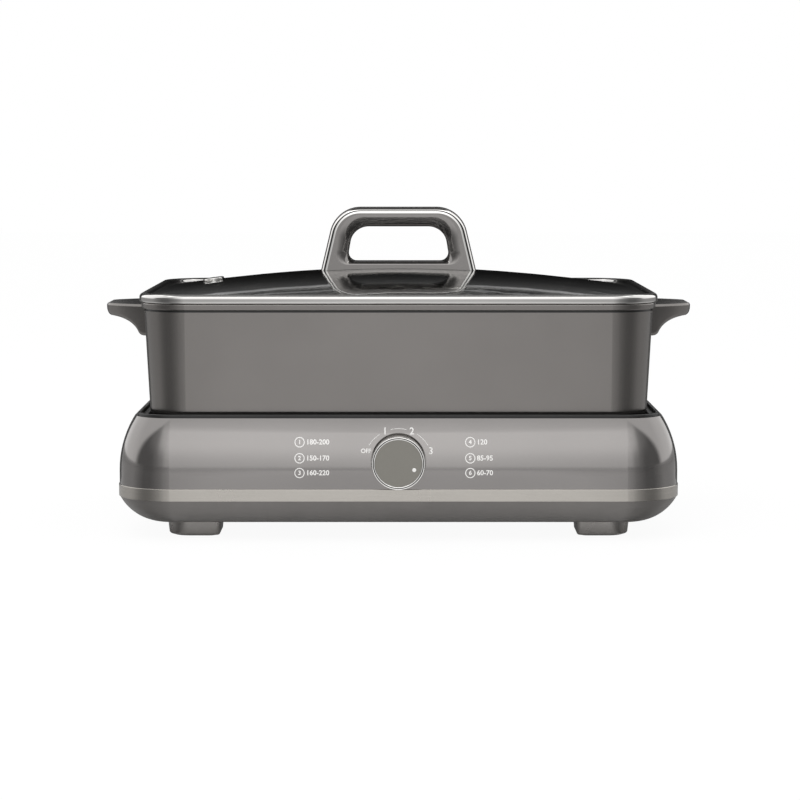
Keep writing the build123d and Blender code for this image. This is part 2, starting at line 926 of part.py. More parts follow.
def foot(x, y):
    """A moulded foot that narrows downwards, with a pocket for its pad."""
    body = Pos(0, 0, floor_z) * extrude(foot_plan(0), pad_proud - floor_z, taper=foot_taper)
    body = fillet(body.edges().group_by(Axis.Z)[0], foot_round)
    pocket = extrude(foot_plan(pad_inset - fit), overrun + pad_thick - pad_proud)
    body -= Pos(0, 0, pad_proud - overrun) * pocket
    body -= post(0, 0, pad_thick, floor_z + overrun, foot_screw_radius)
    return at_foot(body, x, y)


def foot_pad(x, y):
    return at_foot(extrude(foot_plan(pad_inset), pad_thick), x, y)


def foot_screws():
    drop = floor_z - pad_thick
    screws = []
    for x, y in foot_places():
        fastener = screw(foot_screw_radius, drop, screw_head_height)
        screws.append(Pos(x, y, inside_z) * Rot(180, 0, 0) * fastener)
    return Compound(screws)


def pot_shape(inset, low):
    """The pot as a filled body, a given inset behind its outer wall, with a rounded bottom edge."""
    top = pot_corner - inset
    foot_edge = pot_corner - pot_flare - inset
    radius = pot_fillet - inset
    profile = Plane.XZ * make_face(
        FilletPolyline(
            (0, low),
            (foot_edge, low),
            (top, pot_rim_z),
            (0, pot_rim_z),
            radius=[0, radius, 0, 0],
            close=True,
        )
    )
    middle = Rectangle(pot_width - 2 * pot_corner, pot_depth - 2 * pot_corner)
    body = around(profile, pot_width, pot_depth, pot_corner)
    return body + Pos(0, 0, low) * extrude(middle, pot_rim_z - low)


def pot_body():
    pan = pot_shape(0, plate_z)
    bead = slab(
        pot_width + 2 * bead_proud,
        pot_depth + 2 * bead_proud,
        pot_corner + bead_proud,
        pot_rim_z - bead_height,
        pot_rim_z,
    )
    bead = fillet(bead.edges().group_by(Axis.Z)[-1] + bead.edges().group_by(Axis.Z)[0], bead_edge)
    pan += bead
    pan -= bead_groove()
    for side in (-1, 1):
        pan += lug_block(side, 0)
    pan -= pot_shape(pot_wall, plate_z + pot_wall)
    for side in (-1, 1):
        for y in (-1, 1):
            pan -= handle_screw_hole(side, y * handle_screw_pitch / 2, handle_screw_radius)
    return pan


def bead_groove():
    """The narrow groove that runs round the wall just under the rim bead."""
    high = pot_rim_z - bead_height
    low = high - groove_height
    ring = slab(pot_width + 2 * overrun, pot_depth + 2 * overrun, pot_corner + overrun, low, high)
    width = pot_width - 2 * groove_depth
    depth = pot_depth - 2 * groove_depth
    return ring - slab(width, depth, pot_corner - groove_depth, low, high)


def lug_block(side, grow):
    """The cast tongue on the pot wall that carries a handle."""
    start = pot_width / 2 - pot_wall
    end = pot_width / 2 + lug_reach + grow
    top = pot_rim_z - handle_drop - lug_cover + grow
    low = top - lug_thick - 2 * grow
    plan = Rectangle(end - start, lug_depth + 2 * grow)
    return Pos(side * (start + end) / 2, 0, low) * extrude(plan, top - low)


def handle_screw_hole(side, y, radius):
    x = side * (pot_width / 2 + lug_reach - handle_screw_set_back)
    top = pot_rim_z - handle_drop - lug_cover
    return post(x, y, top - handle_root, top - fit, radius)


def under_arc_height(x):
    """Height of the handle's hollow underside at a distance from the middle of the pot."""
    tip_low = pot_rim_z - handle_drop - handle_tip
    start = pot_width / 2 + handle_reach - handle_flat
    run = start - pot_width / 2 - handle_root_lip
    drop = handle_root - handle_tip
    radius = (run ** 2 + drop ** 2) / (2 * drop)
    reach = start - x
    return tip_low - (radius - sqrt(radius ** 2 - reach ** 2))


def pot_handle(side):
    """A flat lug with a rounded tip and a hollowed underside, slipped over the cast tongue."""
    inner = pot_width / 2 - pot_wall
    tip = pot_width / 2 + handle_reach
    top = pot_rim_z - handle_drop
    low = top - handle_root
    half = handle_depth / 2
    tip_half = handle_tip_depth / 2
    outline = FilletPolyline(
        (inner, -half),
        (tip, -tip_half),
        (tip, tip_half),
        (inner, half),
        radius=[0, handle_tip_corner, handle_tip_corner, 0],
        close=True,
    )
    body = Pos(0, 0, low) * extrude(make_face(outline), handle_root)
    lip = pot_width / 2 + handle_root_lip
    start = tip - handle_flat
    tip_low = top - handle_tip
    hollow = section(
        Line((lip, low), (lip, low - overrun)),
        Line((lip, low - overrun), (tip + overrun, low - overrun)),
        Line((tip + overrun, low - overrun), (tip + overrun, tip_low)),
        Line((tip + overrun, tip_low), (start, tip_low)),
        TangentArc((start, tip_low), (lip, low), tangent=(-1, 0)),
    )
    body -= extrude(hollow, handle_depth, both=True)
    upper = body.edges().filter_by_position(Axis.Z, top - fit, top + fit).filter_by_position(
        Axis.X, inner + fit, tip + fit
    )
    body = fillet(upper, handle_edge)
    under = body.edges().filter_by(lambda edge: edge.bounding_box().max.Z < tip_low + fit)
    under = under.filter_by(lambda edge: edge.bounding_box().max.X > lip + fit)
    body = fillet(under, handle_under_edge)
    if side < 0:
        body = mirror(body, Plane.YZ)
    body -= pot_shape(0, plate_z)
    body -= lug_block(side, fit)
    for y in (-1, 1):
        place = y * handle_screw_pitch / 2
        seat = handle_screw_seat()
        x = side * (pot_width / 2 + lug_reach - handle_screw_set_back)
        body -= handle_screw_hole(side, place, handle_screw_radius + screw_clear)
        body -= post(x, place, low - overrun, seat, handle_screw_radius * screw_head_share + screw_clear)
    return body


def handle_screw_seat():
    """Height of the screw heads' seat, sunk into the hollow underside."""
    x = pot_width / 2 + lug_reach - handle_screw_set_back
    return under_arc_height(x) + screw_head_height


def handle_screws():
    screws = []
    seat = handle_screw_seat()
    top = pot_rim_z - handle_drop - lug_cover - fit
    x = pot_width / 2 + lug_reach - handle_screw_set_back
    for sx, sy in quadrants(x, handle_screw_pitch / 2):
        screws.append(Pos(sx, sy, seat) * screw(handle_screw_radius, top - seat, screw_head_height))
    return Compound(screws)


def dome_height(x, y):
    """Height of the top of the glass: a pillow that is level all along its edge."""
    return glass_z + glass_rise * (1 - (2 * x / dome_width) ** 2) * (1 - (2 * y / dome_depth) ** 2)


def dome_layer(offset, thick):
    """A layer of even upright thickness below the dome surface, lifted by an offset."""
    edge = glass_z + offset
    peak = edge + 4 * glass_rise
    half_x = dome_width / 2
    half_y = dome_depth / 2
    rows = []
    for x in (-half_x, 0, half_x):
        rows.append([(x, y, edge if x or y else peak) for y in (-half_y, 0, half_y)])
    return extrude(Face.make_bezier_surface(rows), thick, dir=(0, 0, -1))


def lid_glass():
    margin = lid_rim_wall + glass_fit
    corner = lid_corner - margin
    width = lid_width - 2 * margin
    depth = lid_depth - 2 * margin
    low = glass_z - glass_thick
    plan = slab(width, depth, corner, low - overrun, glass_z + 2 * glass_rise)
    window = Pos(0, 0, low - overrun) * extrude(Rectangle(dome_width, dome_depth), glass_rise + 2 * overrun)
    pane = slab(width, depth, corner, low, glass_z) - window
    pane += dome_layer(0, glass_thick) & plan
    for side in (-1, 1):
        x = side * grip_screw_pitch / 2
        pane -= post(x, 0, low, glass_z + 2 * glass_rise, grip_screw_radius + screw_clear)
    return pane - steam_frame() * steam_cutter()


def lid_rim():
    """A rolled channel that holds the glass, with a lip that drops inside the pot."""
    inner = lid_corner - lid_rim_width
    slot = lid_corner - lid_rim_wall
    low = pot_rim_z
    top = low + lid_rim_height
    lip_out = pot_corner - pot_wall - lid_lip_gap
    slot_low = glass_z - glass_thick - glass_fit
    outline = FilletPolyline(
        (lid_corner, low),
        (lid_corner, top),
        (inner, top),
        (inner, top - lid_rim_wall),
        (slot, top - lid_rim_wall),
        (slot, slot_low),
        (lip_out - lid_rim_wall, slot_low),
        (lip_out - lid_rim_wall, low - lid_lip_depth),
        (lip_out, low - lid_lip_depth),
        (lip_out, low),
        radius=[lid_rim_edge / 2, lid_rim_edge] + 8 * [0],
        close=True,
    )
    return around(Plane.XZ * make_face(outline), lid_width, lid_depth, lid_corner)


def trapezoid(foot_half, lean, low, high, foot_corner, top_corner):
    """An upright outline that leans in towards its top, drawn in the XZ plane."""
    shrink = (high - low) * sin(radians(lean)) / cos(radians(lean))
    return FilletPolyline(
        (-foot_half, low),
        (foot_half, low),
        (foot_half - shrink, high),
        (shrink - foot_half, high),
        radius=[foot_corner, foot_corner, top_corner, top_corner],
        close=True,
    )


def grip_hole(share, y):
    """The finger opening at one depth, opened out by a share of its flare."""
    peak = glass_z + glass_rise
    low = peak + grip_seal_thick + grip_sill - share * grip_flare_foot
    high = peak + grip_top - grip_bar + share * grip_flare_top
    half = grip_hole_width / 2 + share * grip_flare_side
    foot_corner = grip_hole_foot_corner + share * grip_flare_corner
    top_corner = grip_hole_top_corner + share * grip_flare_corner
    outline = trapezoid(half, grip_hole_lean, low, high, foot_corner, top_corner)
    return Plane(origin=(0, y, 0), x_dir=(1, 0, 0), z_dir=(0, -1, 0)) * make_face(outline)


def lid_grip():
    """A loop handle whose finger opening flares out towards both faces."""
    peak = glass_z + glass_rise
    half = grip_depth / 2
    foot_z = glass_z
    lean_back = (peak + grip_seal_thick - foot_z) * sin(radians(grip_lean)) / cos(radians(grip_lean))
    foot_half = grip_foot_width / 2 + lean_back
    outline = trapezoid(foot_half, grip_lean, foot_z, peak + grip_top, 0, grip_top_corner)
    loop = extrude(Plane.XZ * make_face(outline), half, both=True)
    rims = loop.edges().filter_by(lambda edge: abs(edge.center().Y) > half - fit)
    rims = rims.filter_by(lambda edge: edge.center().Z > foot_z + fit)
    loop = fillet(rims, grip_edge)
    for side in (-1, 1):
        flare = []
        for step in range(flare_steps + 1):
            turn = radians(90 * step / flare_steps)
            flare.append(grip_hole(1 - cos(turn), side * half * sin(turn)))
        loop -= loft(flare)
    loop -= dome_layer(grip_seal_thick, glass_rise + overrun)
    for side in (-1, 1):
        x = side * grip_screw_pitch / 2
        loop -= post(x, 0, foot_z, dome_height(x, 0) + grip_screw_bite, grip_screw_radius)
    return loop


def grip_seal():
    """A thin pad between grip and glass, curved like the glass."""
    foot_half = grip_foot_width / 2
    plan = Rectangle(2 * foot_half, grip_depth - 2 * grip_edge)
    pad = Pos(0, 0, glass_z) * extrude(plan, 2 * glass_rise)
    pad &= dome_layer(grip_seal_thick - seat_gap, grip_seal_thick - 2 * seat_gap)
    for side in (-1, 1):
        x = side * grip_screw_pitch / 2
        pad -= post(x, 0, glass_z, glass_z + 2 * glass_rise, grip_screw_radius + screw_clear)
    return pad


def grip_washers():
    """Soft washers under the glass, curved like it."""
    washers = []
    for side in (-1, 1):
        x = side * grip_screw_pitch / 2
        ring = post(x, 0, glass_z - overrun, glass_z + 2 * glass_rise, grip_washer_radius)
        ring &= dome_layer(-glass_thick - seat_gap, grip_washer_thick)
        ring -= post(x, 0, glass_z - overrun, glass_z + glass_rise, grip_screw_radius + screw_clear)
        washers.append(ring)
    return Compound(washers)


def grip_screws():
    screws = []
    for side in (-1, 1):
        x = side * grip_screw_pitch / 2
        low = min(dome_height(x - grip_washer_radius, 0), dome_height(x + grip_washer_radius, 0))
        seat = low - glass_thick - seat_gap - grip_washer_thick
        length = dome_height(x, 0) + grip_screw_bite - fit - seat
        screws.append(Pos(x, 0, seat) * screw(grip_screw_radius, length, screw_head_height))
    return Compound(screws)


def steam_frame():
    """The vent's own frame, square to the glass where it goes through."""
    slope = -8 * glass_rise * steam_x / dome_width ** 2
    return Pos(steam_x, 0, dome_height(steam_x, 0)) * Rot(0, -degrees(atan(slope)), 0)


def steam_cutter():
    return Pos(0, 0, -2 * glass_thick) * extrude(Circle(steam_tube + fit), 4 * glass_thick)


def steam_vent():
    """A rolled eyelet with a flange on each side of the glass."""
    low = -glass_thick - fit - steam_flange_thick
    high = fit + steam_flange_thick
    outline = FilletPolyline(
        (steam_bore, low),
        (steam_flange, low),
        (steam_flange, low + steam_flange_thick),
        (steam_tube, low + steam_flange_thick),
        (steam_tube, fit),
        (steam_flange, fit),
        (steam_flange, high),
        (steam_bore, high),
        radius=[steam_edge, steam_edge, 0, 0, 0, 0, steam_edge, steam_edge],
        close=True,
    )
    return steam_frame() * revolve(Plane.XZ * make_face(outline), Axis.Z)


def bracket_places():
    x = (bracket_span + bracket_foot) / 2
    return [(-x, 0), (x, 0)]


pieces = {
    "lid_glass": lid_glass(),
    "lid_rim": lid_rim(),
    "lid_grip": lid_grip(),
    "grip_seal": grip_seal(),
    "grip_washers": grip_washers(),
    "grip_screws": grip_screws(),
    "steam_vent": steam_vent(),
    "pot_body": pot_body(),
    "pot_handle_left": pot_handle(-1),
    "pot_handle_right": pot_handle(1),
    "handle_screws": handle_screws(),
    "upper_housing": upper_housing(),
    "trim_band": trim_band(),
    "lower_housing": lower_housing(),
    "deck": deck(),
    "heat_plate": heat_plate(),
    "heater_tube": tube(heater_path(), heater_radius),
    "plate_seal": plate_seal(),
    "heat_shield": heat_shield(),
    "plate_standoffs": plate_standoffs(),
    "plate_screws": screw_group(
        boss_places(),
        plate_screw_radius,
        floor_z,
        shield_z + plate_screw_bite - fit,
    ),
    "housing_screws": screw_group(post_places(), post_screw_radius, floor_z, inside_z + post_rise - fit),
    "sensor_cap": sensor_cap(),
    "sensor_spring": sensor_spring(),
    "sensor_bracket": sensor_bracket(),
    "bracket_screws": screw_group(
        bracket_places(),
        bracket_screw_radius,
        plate_low_z - bracket_wall,
        plate_low_z + plate_thick / 2 - fit,
    ),
    "knob_body": knob_body(),
    "knob_ring": knob_ring(),
    "knob_cap": knob_cap(),
    "knob_dot": knob_dot(),
    "switch_shaft": switch_shaft(),
    "rotary_switch": rotary_switch(),
    "switch_nut": switch_nut(),
    "switch_tabs": switch_tabs(),
    "power_inlet": power_inlet(),
    "inlet_pins": inlet_pins(),
    "thermal_fuse": thermal_fuse(),
    "fuse_clip": fuse_clip(),
    "lead_live": lead_live(),
    "lead_switched": lead_switched(),
    "lead_fused": lead_fused(),
    "lead_neutral": lead_neutral(),
    "lead_earth": lead_earth(),
    "foot_screws": foot_screws(),
}
for x, y in foot_places():
    corner_name = ("front" if y < 0 else "back") + "_" + ("left" if x < 0 else "right")
    pieces["foot_" + corner_name] = foot(x, y)
    pieces["pad_" + corner_name] = foot_pad(x, y)

os.makedirs("parts", exist_ok=True)
for name, piece in pieces.items():
    export_step(Pos(0, shift_y, 0) * piece, "parts/" + name + ".step")
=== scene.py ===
# Electric cooking pot: finishes, finer pieces, printed marks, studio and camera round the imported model
import json
import math

import bmesh
import bpy
from mathutils import Matrix, Vector, geometry


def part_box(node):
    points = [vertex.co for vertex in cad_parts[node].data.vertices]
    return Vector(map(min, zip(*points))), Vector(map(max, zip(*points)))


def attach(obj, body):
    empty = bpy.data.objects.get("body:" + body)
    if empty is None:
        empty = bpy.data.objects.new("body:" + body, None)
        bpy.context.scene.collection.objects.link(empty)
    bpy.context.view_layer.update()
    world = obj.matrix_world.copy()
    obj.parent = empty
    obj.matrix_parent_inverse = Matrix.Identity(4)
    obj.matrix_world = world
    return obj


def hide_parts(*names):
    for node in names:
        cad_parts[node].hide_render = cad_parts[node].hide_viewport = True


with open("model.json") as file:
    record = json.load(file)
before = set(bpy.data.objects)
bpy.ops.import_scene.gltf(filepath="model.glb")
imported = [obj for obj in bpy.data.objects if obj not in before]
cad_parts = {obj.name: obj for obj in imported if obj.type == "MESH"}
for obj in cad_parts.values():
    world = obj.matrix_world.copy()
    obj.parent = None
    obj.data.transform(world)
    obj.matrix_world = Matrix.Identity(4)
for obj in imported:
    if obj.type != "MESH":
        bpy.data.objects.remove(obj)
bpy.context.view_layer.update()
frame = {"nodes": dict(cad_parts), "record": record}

nodes = frame["nodes"]
scene = bpy.context.scene
print("frame loaded,", len(nodes), "nodes")


# node helpers

def put(tree, kind, sockets=None, **settings):
    node = tree.nodes.new("ShaderNode" + kind)
    for key, value in settings.items():
        setattr(node, key, value)
    for key, value in (sockets or {}).items():
        if isinstance(value, bpy.types.NodeSocket):
            tree.links.new(value, node.inputs[key])
        else:
            node.inputs[key].default_value = value
    return node


def calc(tree, operation, *terms):
    return put(tree, "Math", dict(enumerate(terms)), operation=operation).outputs[0]


def remap(tree, value, fromLow, fromHigh, toLow, toHigh):
    ends = {"Value": value, 1: fromLow, 2: fromHigh, 3: toLow, 4: toHigh}
    return put(tree, "MapRange", ends).outputs[0]


def softStep(tree, value, low, high):
    ends = {"Value": value, 1: low, 2: high, 3: 0.0, 4: 1.0}
    return put(tree, "MapRange", ends, interpolation_type="SMOOTHSTEP").outputs[0]


def between(tree, factor, first, second):
    return put(tree, "Mix", {0: factor, 2: first, 3: second}, data_type="FLOAT").outputs[0]


def mixColor(tree, factor, first, second):
    return put(tree, "Mix", {0: factor, 6: first, 7: second}, data_type="RGBA").outputs[2]


def objectCoords(tree):
    return put(tree, "TexCoord").outputs["Object"]


def makeGroup(name, inputs, outputs):
    group = bpy.data.node_groups.new(name, "ShaderNodeTree")
    for label, (kind, value) in inputs.items():
        socket = group.interface.new_socket(label, in_out="INPUT", socket_type="NodeSocket" + kind)
        socket.default_value = value
    for label, kind in outputs.items():
        group.interface.new_socket(label, in_out="OUTPUT", socket_type="NodeSocket" + kind)
    return group, group.nodes.new("NodeGroupInput").outputs, group.nodes.new("NodeGroupOutput").inputs


def useGroup(tree, group, **sockets):
    inputs = {key[0].upper() + key[1:]: value for key, value in sockets.items()}
    return put(tree, "Group", inputs, node_tree=group).outputs


def ramp(tree, value, stops):
    # a level that goes straight from stop to stop
    first, last = min(stops), max(stops)
    peak = max(max(stops.values()), 1.0)
    node = put(tree, "ValToRGB", {0: remap(tree, value, first, last, 0.0, 1.0)})
    spots = node.color_ramp.elements
    while len(spots) < len(stops):
        spots.new(0.5)
    for spot, (place, level) in zip(spots, sorted(stops.items())):
        spot.position = (place - first) / (last - first)
        spot.color = (level / peak, level / peak, level / peak, 1)
    return calc(tree, "MULTIPLY", node.outputs[0], peak)


def newMaterial(name):
    material = bpy.data.materials.new(name)
    material.use_nodes = True
    material.node_tree.nodes.clear()
    return material, material.node_tree


def newFinish(name, **sockets):
    material, tree = newMaterial(name)
    constants = {key.replace("_", " "): value for key, value in sockets.items()}
    shader = put(tree, "BsdfPrincipled", constants)
    put(tree, "OutputMaterial", {0: shader.outputs[0]})
    return material, tree, shader


def feed(tree, shader, **sources):
    for key, value in sources.items():
        tree.links.new(value, shader.inputs[key.replace("_", " ")])


def bumpFrom(tree, shader, height, strength, distance):
    bump = put(tree, "Bump", {"Strength": strength, "Distance": distance, "Height": height})
    tree.links.new(bump.outputs[0], shader.inputs["Normal"])


# mesh helpers

weldDistance = 2e-6


def newMesh(name, points, faces):
    mesh = bpy.data.meshes.new(name)
    mesh.from_pydata(points, [], faces)
    return mesh


def softOutline(corners, radii, arcSteps, runSteps):
    # points round a shape with rounded corners, as many on each stretch whatever its size
    bends = []
    for index, corner in enumerate(corners):
        before = (corners[index - 1] - corner).normalized()
        after = (corners[(index + 1) % len(corners)] - corner).normalized()
        half = before.angle(after) / 2
        middle = corner + (before + after).normalized() * (radii[index] / math.sin(half))
        spoke = corner + before * (radii[index] / math.tan(half)) - middle
        turns = [(math.pi - 2 * half) * step / arcSteps for step in range(arcSteps + 1)]
        bends.append([middle + Matrix.Rotation(turn, 2) @ spoke for turn in turns])
    points = []
    for index, bend in enumerate(bends):
        ahead = bends[(index + 1) % len(bends)][0]
        points += bend + [bend[-1].lerp(ahead, step / runSteps) for step in range(1, runSteps)]
    return points


def insetRing(low, high, inset, level, shape):
    # a level ring inside a box, with rounded corners that keep their middles
    left, right, front, back = low.x + inset, high.x - inset, low.y + inset, high.y - inset
    corners = [Vector(place) for place in ((left, front), (right, front), (right, back), (left, back))]
    ring = softOutline(corners, [shape["corner"] - inset] * 4, shape["arcSteps"], shape["runSteps"])
    return [Vector((point.x, point.y, level)) for point in ring]


def joinRings(rings, wrap):
    # quads from ring to ring, and on to the first ring where the form closes on itself
    count = len(rings[0])
    faces = []
    for ring in range(len(rings) if wrap else len(rings) - 1):
        here, there = ring * count, (ring + 1) % len(rings) * count
        for step in range(count):
            after = (step + 1) % count
            faces.append((here + step, there + step, there + after, here + after))
    return [point for ring in rings for point in ring], faces


def endCaps(total, count):
    # flat ends on the first and the last ring
    return [tuple(range(count)), tuple(range(total - 1, total - 1 - count, -1))]


def quarterTurns(steps):
    return [math.pi / 2 * step / steps for step in range(steps + 1)]


def closeMesh(mesh, weld=0):
    # joins points that lie closer than weld and turns all faces outward
    work = bmesh.new()
    work.from_mesh(mesh)
    if weld:
        bmesh.ops.remove_doubles(work, verts=work.verts, dist=weld)
    bmesh.ops.recalc_face_normals(work, faces=work.faces)
    work.to_mesh(mesh)
    work.free()


def placePiece(mesh, finish, body, replaced=None):
    mesh.materials.append(finishes[finish])
    piece = bpy.data.objects.new(mesh.name, mesh)
    scene.collection.objects.link(piece)
    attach(piece, body)
    if replaced:
        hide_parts(replaced)
    return piece


def smoothPiece(name, points, faces, sharp, finish, body, replaced=None):
    mesh = newMesh(name, points, faces)
    closeMesh(mesh, weldDistance)
    mesh.shade_smooth()
    mesh.set_sharp_from_angle(angle=math.radians(sharp))
    return placePiece(mesh, finish, body, replaced)


# shared surface effects, each a group

noiseMiddle = (0.3, 0.7)
effects = {
    "flakeDensity": 3600.0, "flakeChance": 0.45, "driftScale": 14.0, "driftTone": (0.96, 1.04),
    "handledMiddle": (0.35, 0.7), "wearScale": 40.0,
}


def flakeGroup():
    # metal flakes in lacquer, with a slow drift of tone under them
    group, given, result = makeGroup(
        "lacquerFlake",
        {
            "Paint": ("Color", (0.2, 0.2, 0.2, 1)),
            "Fleck": ("Color", (0.5, 0.5, 0.5, 1)),
            "Amount": ("Float", 0.05),
        },
        {"Color": "Color"},
    )
    coords = objectCoords(group)
    cells = put(group, "TexVoronoi", {"Vector": coords, "Scale": effects["flakeDensity"]})
    chance = put(group, "SeparateColor", {0: cells.outputs["Color"]}).outputs[0]
    sparkle = remap(group, chance, effects["flakeChance"], 1.0, 0.0, 1.0)
    drift = put(group, "TexNoise", {"Vector": coords, "Scale": effects["driftScale"], "Detail": 2.0})
    tone = remap(group, drift.outputs[0], *noiseMiddle, *effects["driftTone"])
    toned = put(group, "HueSaturation", {"Value": tone, "Color": given["Paint"]}).outputs[0]
    amount = calc(group, "MULTIPLY", sparkle, given["Amount"])
    group.links.new(mixColor(group, amount, toned, given["Fleck"]), result["Color"])
    return group


def rippleGroup():
    # the faint ripple of sprayed lacquer
    group, given, result = makeGroup("sprayRipple", {"Scale": ("Float", 700.0)}, {"Height": "Float"})
    waves = put(group, "TexNoise", {"Vector": objectCoords(group), "Scale": given["Scale"], "Detail": 1.0})
    group.links.new(waves.outputs[0], result["Height"])
    return group


def brushGroup():
    # fine lines drawn out along one way
    stretch = {"Stretch": ("Vector", (30.0, 30.0, 4000.0))}
    group, given, result = makeGroup("brushLines", stretch, {"Lines": "Float"})
    drawn = put(group, "VectorMath", {0: objectCoords(group), 1: given["Stretch"]}, operation="MULTIPLY")
    pattern = {"Vector": drawn.outputs[0], "Scale": 1.0, "Detail": 3.0, "Roughness": 0.6}
    lines = put(group, "TexNoise", pattern)
    group.links.new(lines.outputs[0], result["Lines"])
    return group


def handlingGroup():
    # slow change of gloss where hands and cloths have been
    group, given, result = makeGroup(
        "handledGloss",
        {"Scale": ("Float", 30.0), "Low": ("Float", 0.2), "High": ("Float", 0.3)},
        {"Roughness": "Float"},
    )
    cloud = put(group, "TexNoise", {"Vector": objectCoords(group), "Scale": given["Scale"], "Detail": 4.0})
    fade = remap(group, cloud.outputs[0], *effects["handledMiddle"], given["Low"], given["High"])
    group.links.new(fade, result["Roughness"])
    return group


def grainGroup():
    # the eroded texture of a plastic mould
    outputs = {"Height": "Float", "Tone": "Float"}
    group, given, result = makeGroup("mouldGrain", {"Scale": ("Float", 1500.0)}, outputs)
    coords = objectCoords(group)
    pits = put(group, "TexVoronoi", {"Vector": coords, "Scale": given["Scale"]}, feature="SMOOTH_F1")
    cloud = put(group, "TexNoise", {"Vector": coords, "Scale": effects["wearScale"], "Detail": 3.0})
    group.links.new(pits.outputs["Distance"], result["Height"])
    group.links.new(remap(group, cloud.outputs[0], *noiseMiddle, 0.0, 1.0), result["Tone"])
    return group


flakes = flakeGroup()
ripple = rippleGroup()
brushed = brushGroup()
handled = handlingGroup()
grain = grainGroup()
print("surface effects ready")


# finishes, one for each slot of the record and a few more for single pieces

bumpReach = {"lacquer": 0.001, "metal": 0.0005, "moulded": 0.0004}


def glossOf(tree, look):
    return useGroup(tree, handled, low=look["gloss"][0], high=look["gloss"][1])["Roughness"]


def paintOf(tree, look):
    return useGroup(tree, flakes, paint=look["paint"], fleck=look["fleck"], amount=look["amount"])["Color"]


def sprayBump(tree, shader, look):
    height = useGroup(tree, ripple, scale=look["ripple"])["Height"]
    bumpFrom(tree, shader, height, look["rippleDepth"], bumpReach["lacquer"])


lacquerLooks = {
    "housing_lacquer": {
        "paint": (0.247, 0.236, 0.230, 1), "fleck": (0.48, 0.46, 0.44, 1), "amount": 0.05, "metallic": 0.94,
        "gloss": (0.08, 0.11), "ripple": 420.0, "rippleDepth": 0.006,
    },
    "knob_lacquer": {
        "paint": (0.225, 0.217, 0.195, 1), "fleck": (0.42, 0.40, 0.37, 1), "amount": 0.08, "metallic": 0.85,
        "gloss": (0.30, 0.36), "ripple": 900.0, "rippleDepth": 0.02,
    },
    # the handles: a lighter copy of the pot's lacquer, as painted light
    "handle_coat_painted_light": {
        "paint": (0.215, 0.204, 0.195, 1), "fleck": (0.40, 0.385, 0.37, 1), "amount": 0.05, "metallic": 0.90,
        "gloss": (0.12, 0.16), "ripple": 900.0, "rippleDepth": 0.010,
    },
}


def lacquer(name, look):
    material, tree, shader = newFinish(name, Metallic=look["metallic"])
    feed(tree, shader, Base_Color=paintOf(tree, look), Roughness=glossOf(tree, look))
    sprayBump(tree, shader, look)
    return material


# the grip's lacquer, the polished metal of its edge lines, and the colour of a painted dark reflection set
# between them
gripLook = {
    "paint": (0.245, 0.235, 0.228, 1), "fleck": (0.5, 0.48, 0.46, 1), "amount": 0.05, "gloss": (0.09, 0.12),
    "edgeColor": (0.88, 0.87, 0.85, 1), "edgeGloss": 0.04, "paintedReflectionColor": (0.015, 0.0145, 0.014, 1),
    "brightLines": {0: 0, 0.64: 0, 0.68: 1, 0.95: 1, 0.997: 1, 0.9985: 0, 1: 0},
    "paintedReflectionBand": {0: 0, 0.845: 0, 0.87: 1, 0.935: 1, 0.955: 0, 1: 0},
    "metallic": 0.92, "ripple": 500.0, "rippleDepth": 0.003,
}


def gripFinish():
    # lacquer with two polished lines round the outer edge and a painted dark reflection line between them,
    # found by the way the rounding faces
    material, tree, shader = newFinish("grip_lacquer")
    coordNode = put(tree, "TexCoord")
    place = put(tree, "SeparateXYZ", {0: coordNode.outputs["Object"]}).outputs
    facing = put(tree, "SeparateXYZ", {0: coordNode.outputs["Normal"]}).outputs
    low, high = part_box("lid_grip")
    sideways = calc(tree, "MULTIPLY", calc(tree, "SUBTRACT", place[0], (low.x + high.x) / 2), facing[0])
    upward = calc(tree, "MULTIPLY", calc(tree, "SUBTRACT", place[2], (low.z + high.z) / 2), facing[2])
    outward = calc(tree, "GREATER_THAN", calc(tree, "ADD", sideways, upward), 0.0)
    forward = calc(tree, "ABSOLUTE", facing[1])
    edge = calc(tree, "MULTIPLY", outward, ramp(tree, forward, gripLook["brightLines"]))
    # painted reflection: a near-black mirror band laid between the two polished lines
    line = calc(tree, "MULTIPLY", outward, ramp(tree, forward, gripLook["paintedReflectionBand"]))
    polished = mixColor(tree, edge, paintOf(tree, gripLook), gripLook["edgeColor"])
    feed(tree, shader, Base_Color=mixColor(tree, line, polished, gripLook["paintedReflectionColor"]))
    feed(tree, shader, Roughness=between(tree, edge, glossOf(tree, gripLook), gripLook["edgeGloss"]))
    feed(tree, shader, Metallic=remap(tree, edge, 0.0, 1.0, gripLook["metallic"], 1.0))
    sprayBump(tree, shader, gripLook)
    return material


panLook = {
    "paint": (0.198, 0.187, 0.179, 1), "fleck": (0.40, 0.385, 0.37, 1), "amount": 0.05,
    "gloss": (0.20, 0.25), "metallic": 0.92, "ripple": 900.0, "rippleDepth": 0.012,
    "coat": 0.08, "coatGloss": 0.15, "dullGloss": 0.08,
    "insideColor": (0.012, 0.0118, 0.0112, 1), "speckColor": (0.10, 0.098, 0.094, 1), "speckSize": 900.0,
    "speckChance": 0.86, "speckReach": 0.32, "inward": -0.0005, "upward": 0.3,
    # groove: height band of the painted shade under the rim bead, and its near-black colour
    "rimDepth": 0.004, "groove": (0.0057, 0.0043), "paintedGrooveShade": (0.012, 0.0115, 0.011, 1),
}


